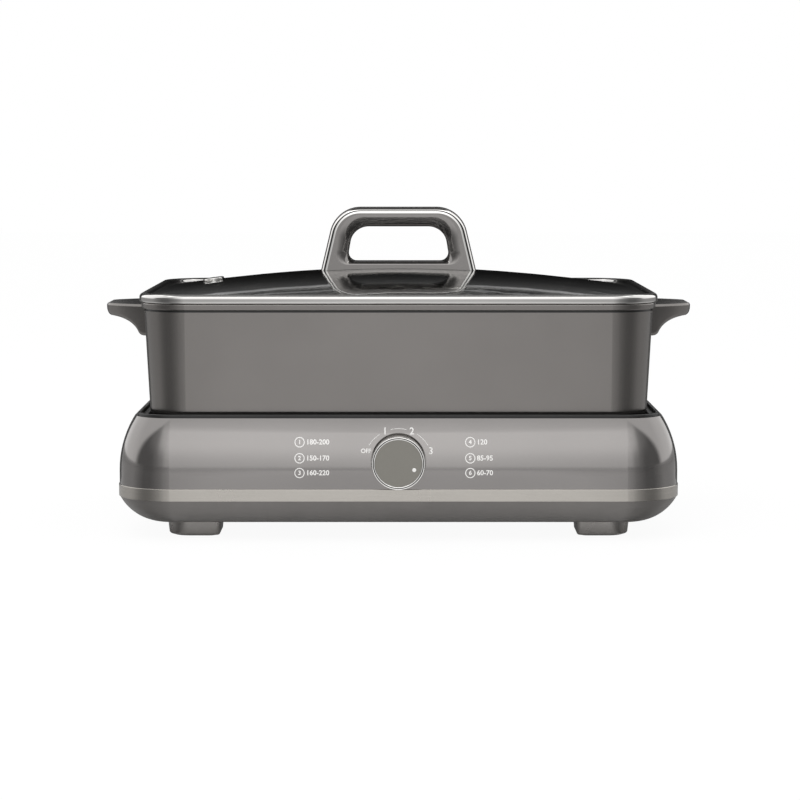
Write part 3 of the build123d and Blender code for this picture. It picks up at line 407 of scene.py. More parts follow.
def panFinish():
    # satin lacquer outside, black speckled release coat inside, told apart by which way the wall faces, and a
    # band of painted shade just under the rim bead
    look = panLook
    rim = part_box("pot_body")[1].z
    material, tree, shader = newFinish("pot_coat", Coat_Weight=look["coat"], Coat_Roughness=look["coatGloss"])
    coordNode = put(tree, "TexCoord")
    place = put(tree, "SeparateXYZ", {0: coordNode.outputs["Object"]}).outputs
    facing = put(tree, "SeparateXYZ", {0: coordNode.outputs["Normal"]}).outputs
    outward = calc(tree, "MULTIPLY_ADD", place[0], facing[0], calc(tree, "MULTIPLY", place[1], facing[1]))
    wallInside = calc(tree, "LESS_THAN", outward, look["inward"])
    below = calc(tree, "LESS_THAN", place[2], rim - look["rimDepth"])
    floorInside = calc(tree, "MULTIPLY", calc(tree, "GREATER_THAN", facing[2], look["upward"]), below)
    inside = calc(tree, "MAXIMUM", wallInside, floorInside)
    specks = put(tree, "TexVoronoi", {"Vector": coordNode.outputs["Object"], "Scale": look["speckSize"]})
    chance = put(tree, "SeparateColor", {0: specks.outputs["Color"]}).outputs[1]
    speck = calc(tree, "MULTIPLY", calc(tree, "GREATER_THAN", chance, look["speckChance"]),
                 calc(tree, "LESS_THAN", specks.outputs["Distance"], look["speckReach"]))
    coat = mixColor(tree, speck, look["insideColor"], look["speckColor"])
    # painted shade: a near-black, dull, non-metallic band under the rim bead, where the bead's shadow falls
    groove = calc(tree, "MULTIPLY", calc(tree, "GREATER_THAN", place[2], rim - look["groove"][0]),
                  calc(tree, "LESS_THAN", place[2], rim - look["groove"][1]))
    skin = mixColor(tree, groove, paintOf(tree, look), look["paintedGrooveShade"])
    dull = calc(tree, "MAXIMUM", inside, groove)
    feed(tree, shader, Base_Color=mixColor(tree, inside, skin, coat))
    feed(tree, shader, Roughness=calc(tree, "MULTIPLY_ADD", dull, look["dullGloss"], glossOf(tree, look)))
    feed(tree, shader, Metallic=remap(tree, dull, 0.0, 1.0, look["metallic"], 0.0))
    sprayBump(tree, shader, look)
    return material


# each metal: color, gloss, stretch of its brushed lines, depth of the lines
metalColumns = ("color", "gloss", "stretch", "depth")
metalLooks = {
    "bright_steel": ((0.78, 0.77, 0.75, 1), (0.05, 0.09), (60.0, 60.0, 900.0), 0.01),
    "band_metal": ((0.50, 0.475, 0.44, 1), (0.22, 0.28), (25.0, 25.0, 5200.0), 0.05),
    "plate_aluminium": ((0.60, 0.60, 0.59, 1), (0.32, 0.42), (18.0, 2600.0, 18.0), 0.10),
    "heater_steel": ((0.27, 0.25, 0.23, 1), (0.42, 0.55), (300.0, 300.0, 300.0), 0.05),
    "sheet_steel": ((0.56, 0.56, 0.55, 1), (0.26, 0.36), (1600.0, 30.0, 30.0), 0.06),
    "screw_steel": ((0.50, 0.50, 0.49, 1), (0.22, 0.32), (900.0, 900.0, 900.0), 0.03),
    "contact_brass": ((0.72, 0.53, 0.26, 1), (0.22, 0.30), (30.0, 1800.0, 1800.0), 0.04),
}
lineShade = 0.86


def scaled(color, share):
    return tuple(part * share for part in color[:3]) + (1,)


def metal(name, row):
    look = dict(zip(metalColumns, row))
    material, tree, shader = newFinish(name, Metallic=1.0)
    lines = useGroup(tree, brushed, stretch=look["stretch"])["Lines"]
    shade = remap(tree, lines, *noiseMiddle, 0.0, 1.0)
    color = mixColor(tree, shade, scaled(look["color"], lineShade), look["color"])
    feed(tree, shader, Base_Color=color, Roughness=glossOf(tree, look))
    bumpFrom(tree, shader, lines, look["depth"], bumpReach["metal"])
    return material


# side is the painted shade colour of the upright steel, roll the painted light colour where it faces up or
# down
rimLook = {
    "side": (0.45, 0.44, 0.43, 1), "roll": (0.64, 0.63, 0.615, 1), "gloss": (0.06, 0.10),
    "paintedLightFacing": (0.06, 0.25), "stretch": (40.0, 40.0, 1500.0), "depth": 0.004,
}


def rimFinish():
    # steel with painted shade on its upright side and painted light where it rolls over, found by which way
    # it faces
    material, tree, shader = newFinish("rim_steel", Metallic=1.0)
    upward = put(tree, "SeparateXYZ", {0: put(tree, "TexCoord").outputs["Normal"]}).outputs[2]
    # painted light and shade: a brighter colour where the steel faces up or down, a darker one where it
    # stands upright
    roll = remap(tree, calc(tree, "ABSOLUTE", upward), *rimLook["paintedLightFacing"], 0.0, 1.0)
    lines = useGroup(tree, brushed, stretch=rimLook["stretch"])["Lines"]
    color = mixColor(tree, roll, rimLook["side"], rimLook["roll"])
    feed(tree, shader, Base_Color=color, Roughness=glossOf(tree, rimLook))
    bumpFrom(tree, shader, lines, rimLook["depth"], bumpReach["metal"])
    return material


ringLook = {
    "color": (0.86, 0.85, 0.83, 1), "paintedValleyReflection": (0.03, 0.029, 0.028, 1), "gloss": (0.05, 0.09),
    "valley": (0.00022, 0.00042),
}


def ringFinish():
    # polished steel with a painted dark reflection line in the valley between its two beads, found by the
    # distance from the axis
    material, tree, shader = newFinish("knob_ring", Metallic=1.0)
    (ringLow, ringHigh), (capLow, capHigh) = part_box("knob_ring"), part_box("knob_cap")
    valley = (ringHigh.x - ringLow.x + capHigh.x - capLow.x) / 4
    place = put(tree, "SeparateXYZ", {0: objectCoords(tree)}).outputs
    across = calc(tree, "POWER", calc(tree, "SUBTRACT", place[0], (ringLow.x + ringHigh.x) / 2), 2.0)
    up = calc(tree, "POWER", calc(tree, "SUBTRACT", place[2], (ringLow.z + ringHigh.z) / 2), 2.0)
    radius = calc(tree, "SQRT", calc(tree, "ADD", across, up))
    off = calc(tree, "ABSOLUTE", calc(tree, "SUBTRACT", radius, valley))
    # painted reflection: the valley of the chrome is coloured near black
    dark = remap(tree, off, *ringLook["valley"], 1.0, 0.0)
    color = mixColor(tree, dark, ringLook["color"], ringLook["paintedValleyReflection"])
    feed(tree, shader, Base_Color=color, Roughness=glossOf(tree, ringLook))
    return material


# each moulding: color, metallic, gloss, scale and depth of its grain
mouldedColumns = ("color", "metallic", "gloss", "grain", "depth")
mouldedLooks = {
    # the feet: a lighter, more metallic plastic than the lower housing's, as painted light
    "foot_plastic_painted_light": ((0.345, 0.330, 0.316, 1), 0.7, (0.26, 0.32), 1800.0, 0.01),
    "seal_grey": ((0.22, 0.21, 0.20, 1), 0.0, (0.40, 0.50), 1200.0, 0.05),
    "lower_plastic": ((0.185, 0.176, 0.169, 1), 0.45, (0.30, 0.36), 1800.0, 0.01),
    "deck_black": ((0.014, 0.0138, 0.0135, 1), 0.0, (0.38, 0.48), 1500.0, 0.10),
    "switch_plastic": ((0.022, 0.022, 0.022, 1), 0.0, (0.40, 0.50), 1700.0, 0.10),
    "silicone": ((0.085, 0.083, 0.08, 1), 0.0, (0.50, 0.60), 1200.0, 0.06),
    "pad_rubber": ((0.028, 0.028, 0.028, 1), 0.0, (0.62, 0.74), 900.0, 0.12),
    "mark_white": ((0.86, 0.85, 0.83, 1), 0.0, (0.26, 0.34), 2500.0, 0.02),
    "lead_brown": ((0.15, 0.062, 0.03, 1), 0.0, (0.34, 0.42), 2200.0, 0.03),
    "lead_blue": ((0.03, 0.11, 0.34, 1), 0.0, (0.34, 0.42), 2200.0, 0.03),
    "lead_green": ((0.07, 0.32, 0.05, 1), 0.0, (0.34, 0.42), 2200.0, 0.03),
}
wornShade = 1.12


def moulded(name, row):
    look = dict(zip(mouldedColumns, row))
    material, tree, shader = newFinish(name, Metallic=look["metallic"])
    texture = useGroup(tree, grain, scale=look["grain"])
    color = mixColor(tree, texture["Tone"], look["color"], scaled(look["color"], wornShade))
    feed(tree, shader, Base_Color=color, Roughness=glossOf(tree, look))
    bumpFrom(tree, shader, texture["Height"], look["depth"], bumpReach["moulded"])
    return material


glassLook = {"tint": (0.80, 0.80, 0.78, 1), "bend": 1.5, "filmScale": 22.0, "film": (0.0, 0.03)}


def glassFinish():
    material, tree, shader = newFinish(
        "lid_glass", Base_Color=glassLook["tint"], IOR=glassLook["bend"],
        Transmission_Weight=1.0, Metallic=0.0,
    )
    low, high = glassLook["film"]
    film = useGroup(tree, handled, scale=glassLook["filmScale"], low=low, high=high)
    feed(tree, shader, Roughness=film["Roughness"])
    return material


finishes = {name: lacquer(name, look) for name, look in lacquerLooks.items()}
finishes.update({name: metal(name, look) for name, look in metalLooks.items()})
finishes.update({name: moulded(name, look) for name, look in mouldedLooks.items()})
finishes["grip_lacquer"] = gripFinish()
finishes["pot_coat"] = panFinish()
finishes["rim_steel"] = rimFinish()
finishes["lid_glass"] = glassFinish()
finishes["knob_ring"] = ringFinish()
ownFinish = {"grip_seal": "seal_grey", "knob_ring": "knob_ring"}
# the feet take the lighter plastic, painted light
feet = [node for node in nodes if node.startswith("foot_") and node != "foot_screws"]
ownFinish.update(dict.fromkeys(feet, "foot_plastic_painted_light"))
for part in frame["record"]["subparts"]:
    mesh = nodes[part["node"]].data
    mesh.materials.clear()
    mesh.materials.append(finishes[ownFinish.get(part["node"], part["material_slot"])])
print("finishes on every node")


# lid grip: a loop whose finger opening flares out in a smooth sweep to both faces

lidLow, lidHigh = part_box("lid_rim")
lidMiddle = (lidLow + lidHigh) / 2
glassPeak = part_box("lid_glass")[1].z
gripShape = {
    "footHalf": 0.0525, "lean": 13.4, "topCorner": 0.021, "edge": 0.0041, "seal": 0.0008, "lip": 0.0001,
    "bar": 0.0131, "sill": 0.0041, "holeHalf": 0.0352, "holeLean": 9.5, "holeTopCorner": 0.013,
    "holeFootCorner": 0.0055, "flareTop": 0.0086, "flareSide": 0.0096, "flareFoot": 0.0022,
    "flareCorner": 0.0030, "flareDeep": 0.0050, "lipTurn": 45.0, "lipShare": 0.94, "lipSteps": 18,
    "throatSteps": 8, "footRounds": 4,
    "domeRise": 0.0142, "domeInset": 0.007, "edgeSteps": 10, "faceMargin": 0.06,
    "arcSteps": 16, "runSteps": 16, "sharp": 40.0,
}


def domeHeight(x, y):
    # top of the glass over a place measured from the middle of the lid
    reachX = (lidHigh.x - lidLow.x) / 2 - gripShape["domeInset"]
    reachY = (lidHigh.y - lidLow.y) / 2 - gripShape["domeInset"]
    return glassPeak - gripShape["domeRise"] * (1 - (1 - (x / reachX) ** 2) * (1 - (y / reachY) ** 2))


def standing(ring, y):
    return [Vector((point.x, lidMiddle.y + y, point.y)) for point in ring]


def gripOutside(inset, y, lift):
    # outer ring whose foot follows the glass; the sides lean, so the foot's ends are found in a few rounds
    shape = gripShape
    slope = math.tan(math.radians(shape["lean"]))
    half = shape["footHalf"] - inset / math.cos(math.radians(shape["lean"]))
    level = glassPeak + shape["seal"]
    foot = level
    for _ in range(shape["footRounds"]):
        foot = domeHeight(half - (foot - level) * slope, y) + lift
    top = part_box("lid_grip")[1].z - inset
    wide, narrow = half - (foot - level) * slope, half - (top - level) * slope
    corners = [Vector(place) for place in ((-wide, foot), (wide, foot), (narrow, top), (-narrow, top))]
    bend = shape["topCorner"] - inset
    ring = softOutline(corners, (0, 0, bend, bend), shape["arcSteps"], shape["runSteps"])
    alongGlass = slice(shape["arcSteps"] + 1, shape["arcSteps"] + shape["runSteps"])
    for point in ring[alongGlass]:
        point.y = domeHeight(point.x, y) + lift
    return standing(ring, y)


def gripOpening(share, y):
    shape = gripShape
    low = glassPeak + shape["seal"] + shape["sill"] - share * shape["flareFoot"]
    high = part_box("lid_grip")[1].z - shape["bar"] + share * shape["flareTop"]
    wide = shape["holeHalf"] + share * shape["flareSide"]
    narrow = wide - (high - low) * math.tan(math.radians(shape["holeLean"]))
    corners = [Vector(place) for place in ((-wide, low), (wide, low), (narrow, high), (-narrow, high))]
    foot, top = (shape[name] + share * shape["flareCorner"] for name in ("holeFootCorner", "holeTopCorner"))
    return standing(softOutline(corners, (foot, foot, top, top), shape["arcSteps"], shape["runSteps"]), y)


def flareCurve():
    # share of the flare still open and depth below the face: a wide arc over the lip, then a tight one
    shape = gripShape
    lipTurn = math.radians(shape["lipTurn"])
    lipWide, throatWide = shape["lipShare"], 1 - shape["lipShare"]
    lipDeep = shape["lipShare"] * shape["flareSide"] * (1 - math.cos(lipTurn)) / math.sin(lipTurn)
    curve = []
    for step in range(shape["lipSteps"] + 1):
        turn = lipTurn * step / shape["lipSteps"]
        curve.append((1 - lipWide * math.sin(turn) / math.sin(lipTurn),
                      lipDeep * (1 - math.cos(turn)) / (1 - math.cos(lipTurn))))
    for step in range(1, shape["throatSteps"] + 1):
        turn = lipTurn + (math.pi / 2 - lipTurn) * step / shape["throatSteps"]
        along = (math.sin(turn) - math.sin(lipTurn)) / (1 - math.sin(lipTurn))
        down = (math.cos(lipTurn) - math.cos(turn)) / math.cos(lipTurn)
        curve.append((throatWide * (1 - along), lipDeep + (shape["flareDeep"] - lipDeep) * down))
    return curve


def gripHalf(side):
    # rings from the outer wall over one face and into the middle of the opening
    shape = gripShape
    low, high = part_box("lid_grip")
    deep = (high.y - low.y) / 2
    flat = deep - shape["edge"]
    rings = [gripOutside(0, 0, shape["seal"]), gripOutside(0, side * flat, shape["seal"])]
    for turn in quarterTurns(shape["edgeSteps"]):
        inset, out = shape["edge"] * (1 - math.cos(turn)), shape["edge"] * math.sin(turn)
        rings.append(gripOutside(inset, side * (flat + out), shape["lip"]))
    outer, inner = rings[-1], gripOpening(1, side * deep)
    for share in (shape["faceMargin"], 1 - shape["faceMargin"]):
        rings.append([here.lerp(there, share) for here, there in zip(outer, inner)])
    for share, depth in flareCurve():
        rings.append(gripOpening(share, side * (deep - depth)))
    return rings + [gripOpening(0, 0)]


def buildGrip():
    points, faces = joinRings(gripHalf(-1) + gripHalf(1)[-2:0:-1], wrap=True)
    lacquered = "grip_lacquer"
    smoothPiece("grip_loop", points, faces, gripShape["sharp"], lacquered, "lid", "lid_grip")


buildGrip()


# lid rim: a rolled steel channel

rimShape = {
    "corner": 0.0318, "lipDepth": 0.0034, "tall": 0.0059, "topRoll": 0.0029, "rollTurn": 160.0,
    "footRoll": 0.0011, "sheet": 0.0006, "slotInset": 0.00070, "lipInset": 0.0066,
    "rollSteps": 16, "arcSteps": 24, "runSteps": 2, "sharp": 32.0,
}


def rimProfile():
    # inward distance and height of the section: roll, side and foot, then the lip and the slot for the glass
    shape = rimShape
    roll, foot, lip, sheet = (shape[name] for name in ("topRoll", "footRoll", "lipInset", "sheet"))
    section = []
    for step in range(shape["rollSteps"] + 1):
        turn = math.radians(shape["rollTurn"]) * (1 - step / shape["rollSteps"])
        section.append((roll * (1 - math.cos(turn)), shape["tall"] - roll * (1 - math.sin(turn))))
    for turn in quarterTurns(shape["rollSteps"]):
        section.append((foot * (1 - math.cos(turn)), foot * (1 - math.sin(turn))))
    low, slot = -shape["lipDepth"], shape["slotInset"]
    lipLine = [(lip, 0.0), (lip, low), (lip + sheet, low), (lip + sheet, sheet)]
    return section + lipLine + [(slot, sheet), (slot, section[0][1])]


def buildRim():
    shape = rimShape
    rings = []
    for inset, height in rimProfile():
        rings.append(insetRing(lidLow, lidHigh, inset, lidLow.z + shape["lipDepth"] + height, shape))
    points, faces = joinRings(rings, wrap=True)
    smoothPiece("rim_roll", points, faces, shape["sharp"], "rim_steel", "lid", "lid_rim")


buildRim()
print("grip and rim built")


# printed marks: dial figures and six numbered programs with their temperatures

marks = {
    "proud": 0.00006, "reach": 0.3, "font": 0.0045, "dialFont": 0.0062, "offFont": 0.0038, "bold": 0.00009,
    "fontSteps": 3, "dialRadius": 0.0226, "dialDrop": 0.0022,
    "dialFigures": {157.5: "OFF", 112.5: "1", 67.5: "2", 22.5: "3"},
    "dialArcs": [(148, 122), (103, 77), (58, 32)], "arcWidth": 0.00028, "arcSteps": 16,
    "rowRise": [0.0120, 0.0019, -0.0075], "badgeX": (-0.0636, 0.0462), "badgeRadius": 0.0030,
    "badgeLine": 0.00055, "badgeSteps": 40, "badgeFont": 0.0038, "textGap": 0.0012,
    "programs": ["180-200", "150-170", "160-220", "120", "85-95", "60-70"],
}


def figures(text, size, x, z, align="CENTER"):
    # flat figures standing in the XZ plane, facing the front
    curve = bpy.data.curves.new(text, "FONT")
    curve.body = text
    curve.size = size
    curve.align_x = align
    curve.align_y = "CENTER"
    curve.fill_mode = "FRONT"
    curve.resolution_u = marks["fontSteps"]
    curve.offset = marks["bold"]
    holder = bpy.data.objects.new(text, curve)
    flat = bpy.data.meshes.new_from_object(holder)
    points = [(x + v.co.x, 0.0, z + v.co.y) for v in flat.vertices]
    faces = [tuple(face.vertices) for face in flat.polygons]
    bpy.data.objects.remove(holder)
    bpy.data.curves.remove(curve)
    bpy.data.meshes.remove(flat)
    return points, faces


def stripe(x, z, radius, width, start, end, steps):
    # part of a ring, from one angle to another, in degrees
    points = []
    for step in range(steps + 1):
        turn = math.radians(start + (end - start) * step / steps)
        for reach in (radius - width / 2, radius + width / 2):
            points.append((x + reach * math.cos(turn), 0.0, z + reach * math.sin(turn)))
    faces = [(2 * i, 2 * i + 1, 2 * i + 3, 2 * i + 2) for i in range(steps)]
    return points, faces


def printed(name, shapes):
    # lays flat shapes on the front of the upper housing, as ink
    points, faces = [], []
    for shapePoints, shapeFaces in shapes:
        faces += [tuple(len(points) + index for index in face) for face in shapeFaces]
        points += shapePoints
    housing = nodes["upper_housing"]
    laid = []
    for x, _, z in points:
        _, place, normal, _ = housing.ray_cast(Vector((x, -marks["reach"], z)), Vector((0, 1, 0)))
        laid.append(place + normal * marks["proud"])
    mark = placePiece(newMesh(name, laid, faces), "mark_white", "base")
    film = mark.modifiers.new("film", "SOLIDIFY")
    film.thickness = marks["proud"]
    film.offset = 0.0


def printDial():
    low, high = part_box("knob_cap")
    x, z = (low.x + high.x) / 2, (low.z + high.z) / 2 - marks["dialDrop"]
    radius = marks["dialRadius"]
    shapes = []
    for angle, figure in marks["dialFigures"].items():
        turn = math.radians(angle)
        size = marks["offFont"] if figure == "OFF" else marks["dialFont"]
        shapes.append(figures(figure, size, x + radius * math.cos(turn), z + radius * math.sin(turn)))
    for start, end in marks["dialArcs"]:
        shapes.append(stripe(x, z, radius, marks["arcWidth"], start, end, marks["arcSteps"]))
    printed("dial_figures", shapes)


def printPrograms():
    low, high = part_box("knob_cap")
    rows = len(marks["rowRise"])
    for index, heat in enumerate(marks["programs"]):
        number = str(index + 1)
        x = marks["badgeX"][index // rows]
        z = (low.z + high.z) / 2 + marks["rowRise"][index % rows]
        textX = x + marks["badgeRadius"] + marks["textGap"]
        badge = stripe(x, z, marks["badgeRadius"], marks["badgeLine"], 0, 360, marks["badgeSteps"])
        printed("program_" + number, [badge, figures(number, marks["badgeFont"], x, z),
                                      figures(heat, marks["font"], textX, z, "LEFT")])


printDial()
printPrograms()
print("marks printed")


# deck lip: a narrow black bead that stands on the deck just inside the rim of the base

deckLip = {
    "corner": 0.0232, "inset": 0.0002, "width": 0.0020, "tall": 0.0026, "edge": 0.0007,
    "edgeSteps": 5, "arcSteps": 20, "runSteps": 2, "sharp": 50.0,
}


def buildDeckLip():
    low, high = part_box("deck")
    edge, wide, tall = deckLip["edge"], deckLip["width"], deckLip["tall"]
    turns = quarterTurns(deckLip["edgeSteps"])
    bends = [(edge * (1 - math.cos(turn)), edge * (1 - math.sin(turn))) for turn in turns]
    section = [(0, 0)] + [(across, tall - drop) for across, drop in bends]
    section += [(wide - across, tall - drop) for drop, across in bends] + [(wide, 0)]
    inset = deckLip["inset"]
    rings = [insetRing(low, high, inset + across, high.z + rise, deckLip) for across, rise in section]
    points, faces = joinRings(rings, wrap=True)
    smoothPiece("deck_lip", points, faces, deckLip["sharp"], "deck_black", "base")


buildDeckLip()
print("deck lip made")


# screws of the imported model, found and measured

screwLook = {
    "nodes": {"housing_screws": "base", "plate_screws": "base", "foot_screws": "base",
              "handle_screws": "pot", "grip_screws": "lid"},
    "headHeight": 0.0024, "steps": 48, "armShare": 0.60, "armWidthShare": 0.17, "recessShare": 0.55,
    "floorShare": 0.72, "crownShares": ((0.72, 0.0), (0.90, 0.10), (0.98, 0.30), (1.0, 0.55), (1.0, 1.0)),
    "pitchShare": 0.8, "threadShare": 0.14, "weld": 1e-6, "endShare": 0.02,
}


def islands(mesh):
    # the points of each separate solid in a node
    work = bmesh.new()
    work.from_mesh(mesh)
    bmesh.ops.remove_doubles(work, verts=work.verts, dist=screwLook["weld"])
    left = set(work.verts)
    found = []
    while left:
        todo = [left.pop()]
        solid = []
        while todo:
            point = todo.pop()
            solid.append(point.co.copy())
            for edge in point.link_edges:
                other = edge.other_vert(point)
                if other in left:
                    left.remove(other)
                    todo.append(other)
        found.append(solid)
    work.free()
    return found


def measureScrew(solid):
    # middle of the head's face, the way the shank points, its length, head radius and shank radius
    low = Vector([min(point[k] for point in solid) for k in range(3)])
    high = Vector([max(point[k] for point in solid) for k in range(3)])
    size = high - low
    along = max(range(3), key=lambda k: size[k])
    middle = (low + high) / 2
    flat = Vector([k != along for k in range(3)])

    def widest(level):
        near = [point for point in solid if abs(point[along] - level) < size[along] * screwLook["endShare"]]
        return max((((point - middle) * flat).length for point in near), default=0)

    lowEnd, highEnd = widest(low[along]), widest(high[along])
    headLow = lowEnd > highEnd
    way = Vector([0.0, 0.0, 0.0])
    way[along] = 1.0 if headLow else -1.0
    face = middle.copy()
    face[along] = low[along] if headLow else high[along]
    across = max(size[k] for k in range(3) if k != along) / 2
    return face, way, size[along], across, min(lowEnd, highEnd)


# pot handles: lugs with a bevelled top edge, a rounded tip and a hollow below that ends in a rounded foot

handleShape = {
    "tipHalf": 0.013, "ear": 0.0231, "bevel": (0.0010, 0.0015), "underEdge": 0.0026, "edgeShare": 0.85,
    "reach": 0.0011, "tipDrop": 0.0031, "tipRound": (0.0046, 0.0083),
    "hollow": ((0.0143, 0.0092), (0.0207, 0.0130), (0.0233, 0.0184)),
    "foot": ((0.0241, 0.0202), (0.0256, 0.0211), (0.0277, 0.0211)),
    "tipSteps": 10, "curveSteps": 14, "edgeSteps": 9, "pocket": 0.0041, "pocketSteps": 32, "sharp": 13.0,
}


def handleUnderside(length):
    # distance in from the tip and drop below the top, along the underside
    shape = handleShape
    tipLong, tipDeep = shape["tipRound"]
    top = shape["tipDrop"]
    line = []
    for turn in quarterTurns(shape["tipSteps"]):
        line.append((tipLong * (1 - math.cos(turn)), top + (tipDeep - top) * math.sin(turn)))
    for curve in (shape["hollow"], shape["foot"]):
        first, second, last = (Vector(place) for place in curve)
        stretch = geometry.interpolate_bezier(Vector(line[-1]), first, second, last, shape["curveSteps"])
        line += [(place.x, place.y) for place in stretch[1:]]
    return line + [(length, line[-1][1])]


def handleSection(inset, drop):
    # half of the outline across the lug at one distance from the tip, from the top round to the underside
    shape = handleShape
    half = shape["tipHalf"] + math.sqrt(shape["ear"] * inset)
    across, down = shape["bevel"]
    top = down * max(1 - inset / across, 0)
    edge = min(shape["underEdge"], (drop - down) * shape["edgeShare"])
    side = [(half - across, top), (half, down)]
    for turn in quarterTurns(shape["edgeSteps"]):
        side.append((half - edge * (1 - math.cos(turn)), drop - edge * (1 - math.sin(turn))))
    return side


def screwPockets(piece, side):
    # the two holes that the screw heads sit in, cut up from the hollow
    shape = handleShape
    count = shape["pocketSteps"]
    turns = [math.tau * step / count for step in range(count)]
    spokes = [Vector((math.cos(turn), math.sin(turn), 0)) * shape["pocket"] for turn in turns]
    screws = [measureScrew(solid)[0] for solid in islands(nodes["handle_screws"].data)]
    for head in (face for face in screws if face.x * side > 0):
        foot, floor = -shape["foot"][-1][1], screwLook["headHeight"]
        rings = [[head + spoke + Vector((0, 0, rise)) for spoke in spokes] for rise in (foot, floor)]
        points, faces = joinRings(rings, wrap=False)
        faces += endCaps(len(points), count)
        cutter = bpy.data.objects.new("pocket", newMesh("pocket", points, faces))
        scene.collection.objects.link(cutter)
        cut = piece.modifiers.new("pocket", "BOOLEAN")
        cut.object = cutter
        cut.solver = "EXACT"
        cutMesh = bpy.data.meshes.new_from_object(piece.evaluated_get(bpy.context.evaluated_depsgraph_get()))
        piece.modifiers.clear()
        piece.data = cutMesh
        bpy.data.objects.remove(cutter)


def buildHandle(node, side):
    low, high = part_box(node)
    middle = (low.y + high.y) / 2
    tip = (high.x if side > 0 else low.x) + side * handleShape["reach"]
    rings = []
    for inset, drop in handleUnderside(high.x - low.x + handleShape["reach"]):
        half = handleSection(inset, drop)
        whole = [(-y, z) for y, z in half] + [(y, z) for y, z in reversed(half)]
        rings.append([Vector((tip - side * inset, middle + y, high.z - z)) for y, z in whole])
    points, faces = joinRings(rings, wrap=False)
    faces += endCaps(len(points), len(rings[0]))
    sharp = handleShape["sharp"]
    # the lugs take the lighter copy of the pot's lacquer, painted light
    lug = smoothPiece(node + "_lug", points, faces, sharp, "handle_coat_painted_light", "pot", node)
    screwPockets(lug, side)


buildHandle("pot_handle_left", -1)
buildHandle("pot_handle_right", 1)
print("handles built")


# cross-recess screws in place of the plain ones

def crossReach(turn, arm, halfWidth):
    # distance from the middle to the outline of a cross
    fold = abs((turn + math.pi / 4) % (math.pi / 2) - math.pi / 4)
    return arm / math.cos(fold) if math.tan(fold) < halfWidth / arm else halfWidth / math.sin(fold)


def screwRings(length, head, shank):
    # radius for each turn and depth, from the floor of the recess out and down to the tip
    look = screwLook
    arm, halfWidth = head * look["armShare"], head * look["armWidthShare"]
    deep = look["headHeight"] * look["recessShare"]
    cross = lambda turn: crossReach(turn, arm, halfWidth)
    rings = [(lambda turn: cross(turn) * look["floorShare"], deep), (cross, 0.0)]
    for share, drop in look["crownShares"]:
        rings.append((lambda turn, r=head * share: r, look["headHeight"] * drop))
    pitch = shank * look["pitchShare"]
    groove = shank * (1 - look["threadShare"])
    depth = look["headHeight"]
    rings.append((lambda turn: shank, depth))
    while depth + pitch < length:
        rings.append((lambda turn: groove, depth + pitch / 2))
        rings.append((lambda turn: shank, depth + pitch))
        depth += pitch
    rings.append((lambda turn: groove, length))
    return rings


def buildScrews(node, body):
    points, faces = [], []
    steps = screwLook["steps"]
    turns = [math.tau * step / steps for step in range(steps)]
    for solid in islands(nodes[node].data):
        face, way, length, head, shank = measureScrew(solid)
        place = Matrix.Translation(face) @ way.to_track_quat("Z", "Y").to_matrix().to_4x4()
        rings = []
        for reach, depth in screwRings(length, head, shank):
            spots = [(reach(turn) * math.cos(turn), reach(turn) * math.sin(turn), depth) for turn in turns]
            rings.append([place @ Vector(spot) for spot in spots])
        first = len(points)
        screwPoints, screwFaces = joinRings(rings, wrap=False)
        screwFaces += endCaps(len(screwPoints), steps)
        points += screwPoints
        faces += [tuple(first + index for index in corners) for corners in screwFaces]
    mesh = newMesh(node + "_cross", points, faces)
    closeMesh(mesh)
    placePiece(mesh, "screw_steel", body, node)


for node, body in screwLook["nodes"].items():
    buildScrews(node, body)
print("screws cut")


# studio: pale floor, white surroundings, and soft boxes and dark gaps that only reflections see

# the floor's pairs are its own glow and its diffuse tone
studio = {
    "floorSize": 12.0, "skyLight": 0.78,
    "keyPlace": (-0.5, -1.5, 2.1), "keyAim": (0, 0, 0.1), "keySize": 1.8, "keyPower": 22.0,
    "floorCamera": (0.94, 0.07), "floorMirror": (0.10, 0.90), "floorGrey": (0.8, 0.8, 0.8, 1),
    "baseCorner": 0.036,
}
white = (1, 1, 1, 1)
# levels that mirrors see, by the angle round from the front or up from the floor, in degrees
around = {
    "low": {0: 1.0, 15: 0.57, 24: 0.40, 33: 0.31, 44: 0.21, 60: 0.21, 72: 0.33, 84: 0.49,
            92: 0.58, 115: 0.58, 130: 0.50, 150: 0.70, 165: 1.0},
    "frontByRise": {3: 1.36, 10: 1.52, 15: 1.66, 20: 1.77, 25: 1.83, 42: 1.84, 47: 1.50, 52: 1.30, 60: 1.0},
    "frontSpreadLow": {0: 1.0, 9: 0.70, 15: 0.58, 21: 0.33, 27: 0.25, 33: 0.13, 39: 0.07, 45: 0.0},
    "frontSpreadHigh": {0: 1.0, 9: 0.90, 15: 0.71, 21: 0.65, 27: 0.50, 33: 0.26, 39: 0.16, 48: 0.10, 60: 0.0},
    "side": {83: 1.2, 100: 1.38, 120: 1.43, 135: 1.6, 150: 1.3, 165: 1.0},
    "overheadRise": {57: 0.0, 60: 1.0, 65: 1.0, 70: 0.0},
    "overheadTurn": {80: 1.0, 110: 0.0},
    "gap": 0.21, "overhead": 2.8, "upright": 0.09,
    "sideEdge": 83.0, "sideCurve": 0.0245, "sideSoft": 7.0,
    "lowEnds": (1.2, 2.8), "spreadEnds": (10.0, 30.0), "overEnds": (56.0, 62.0),
}
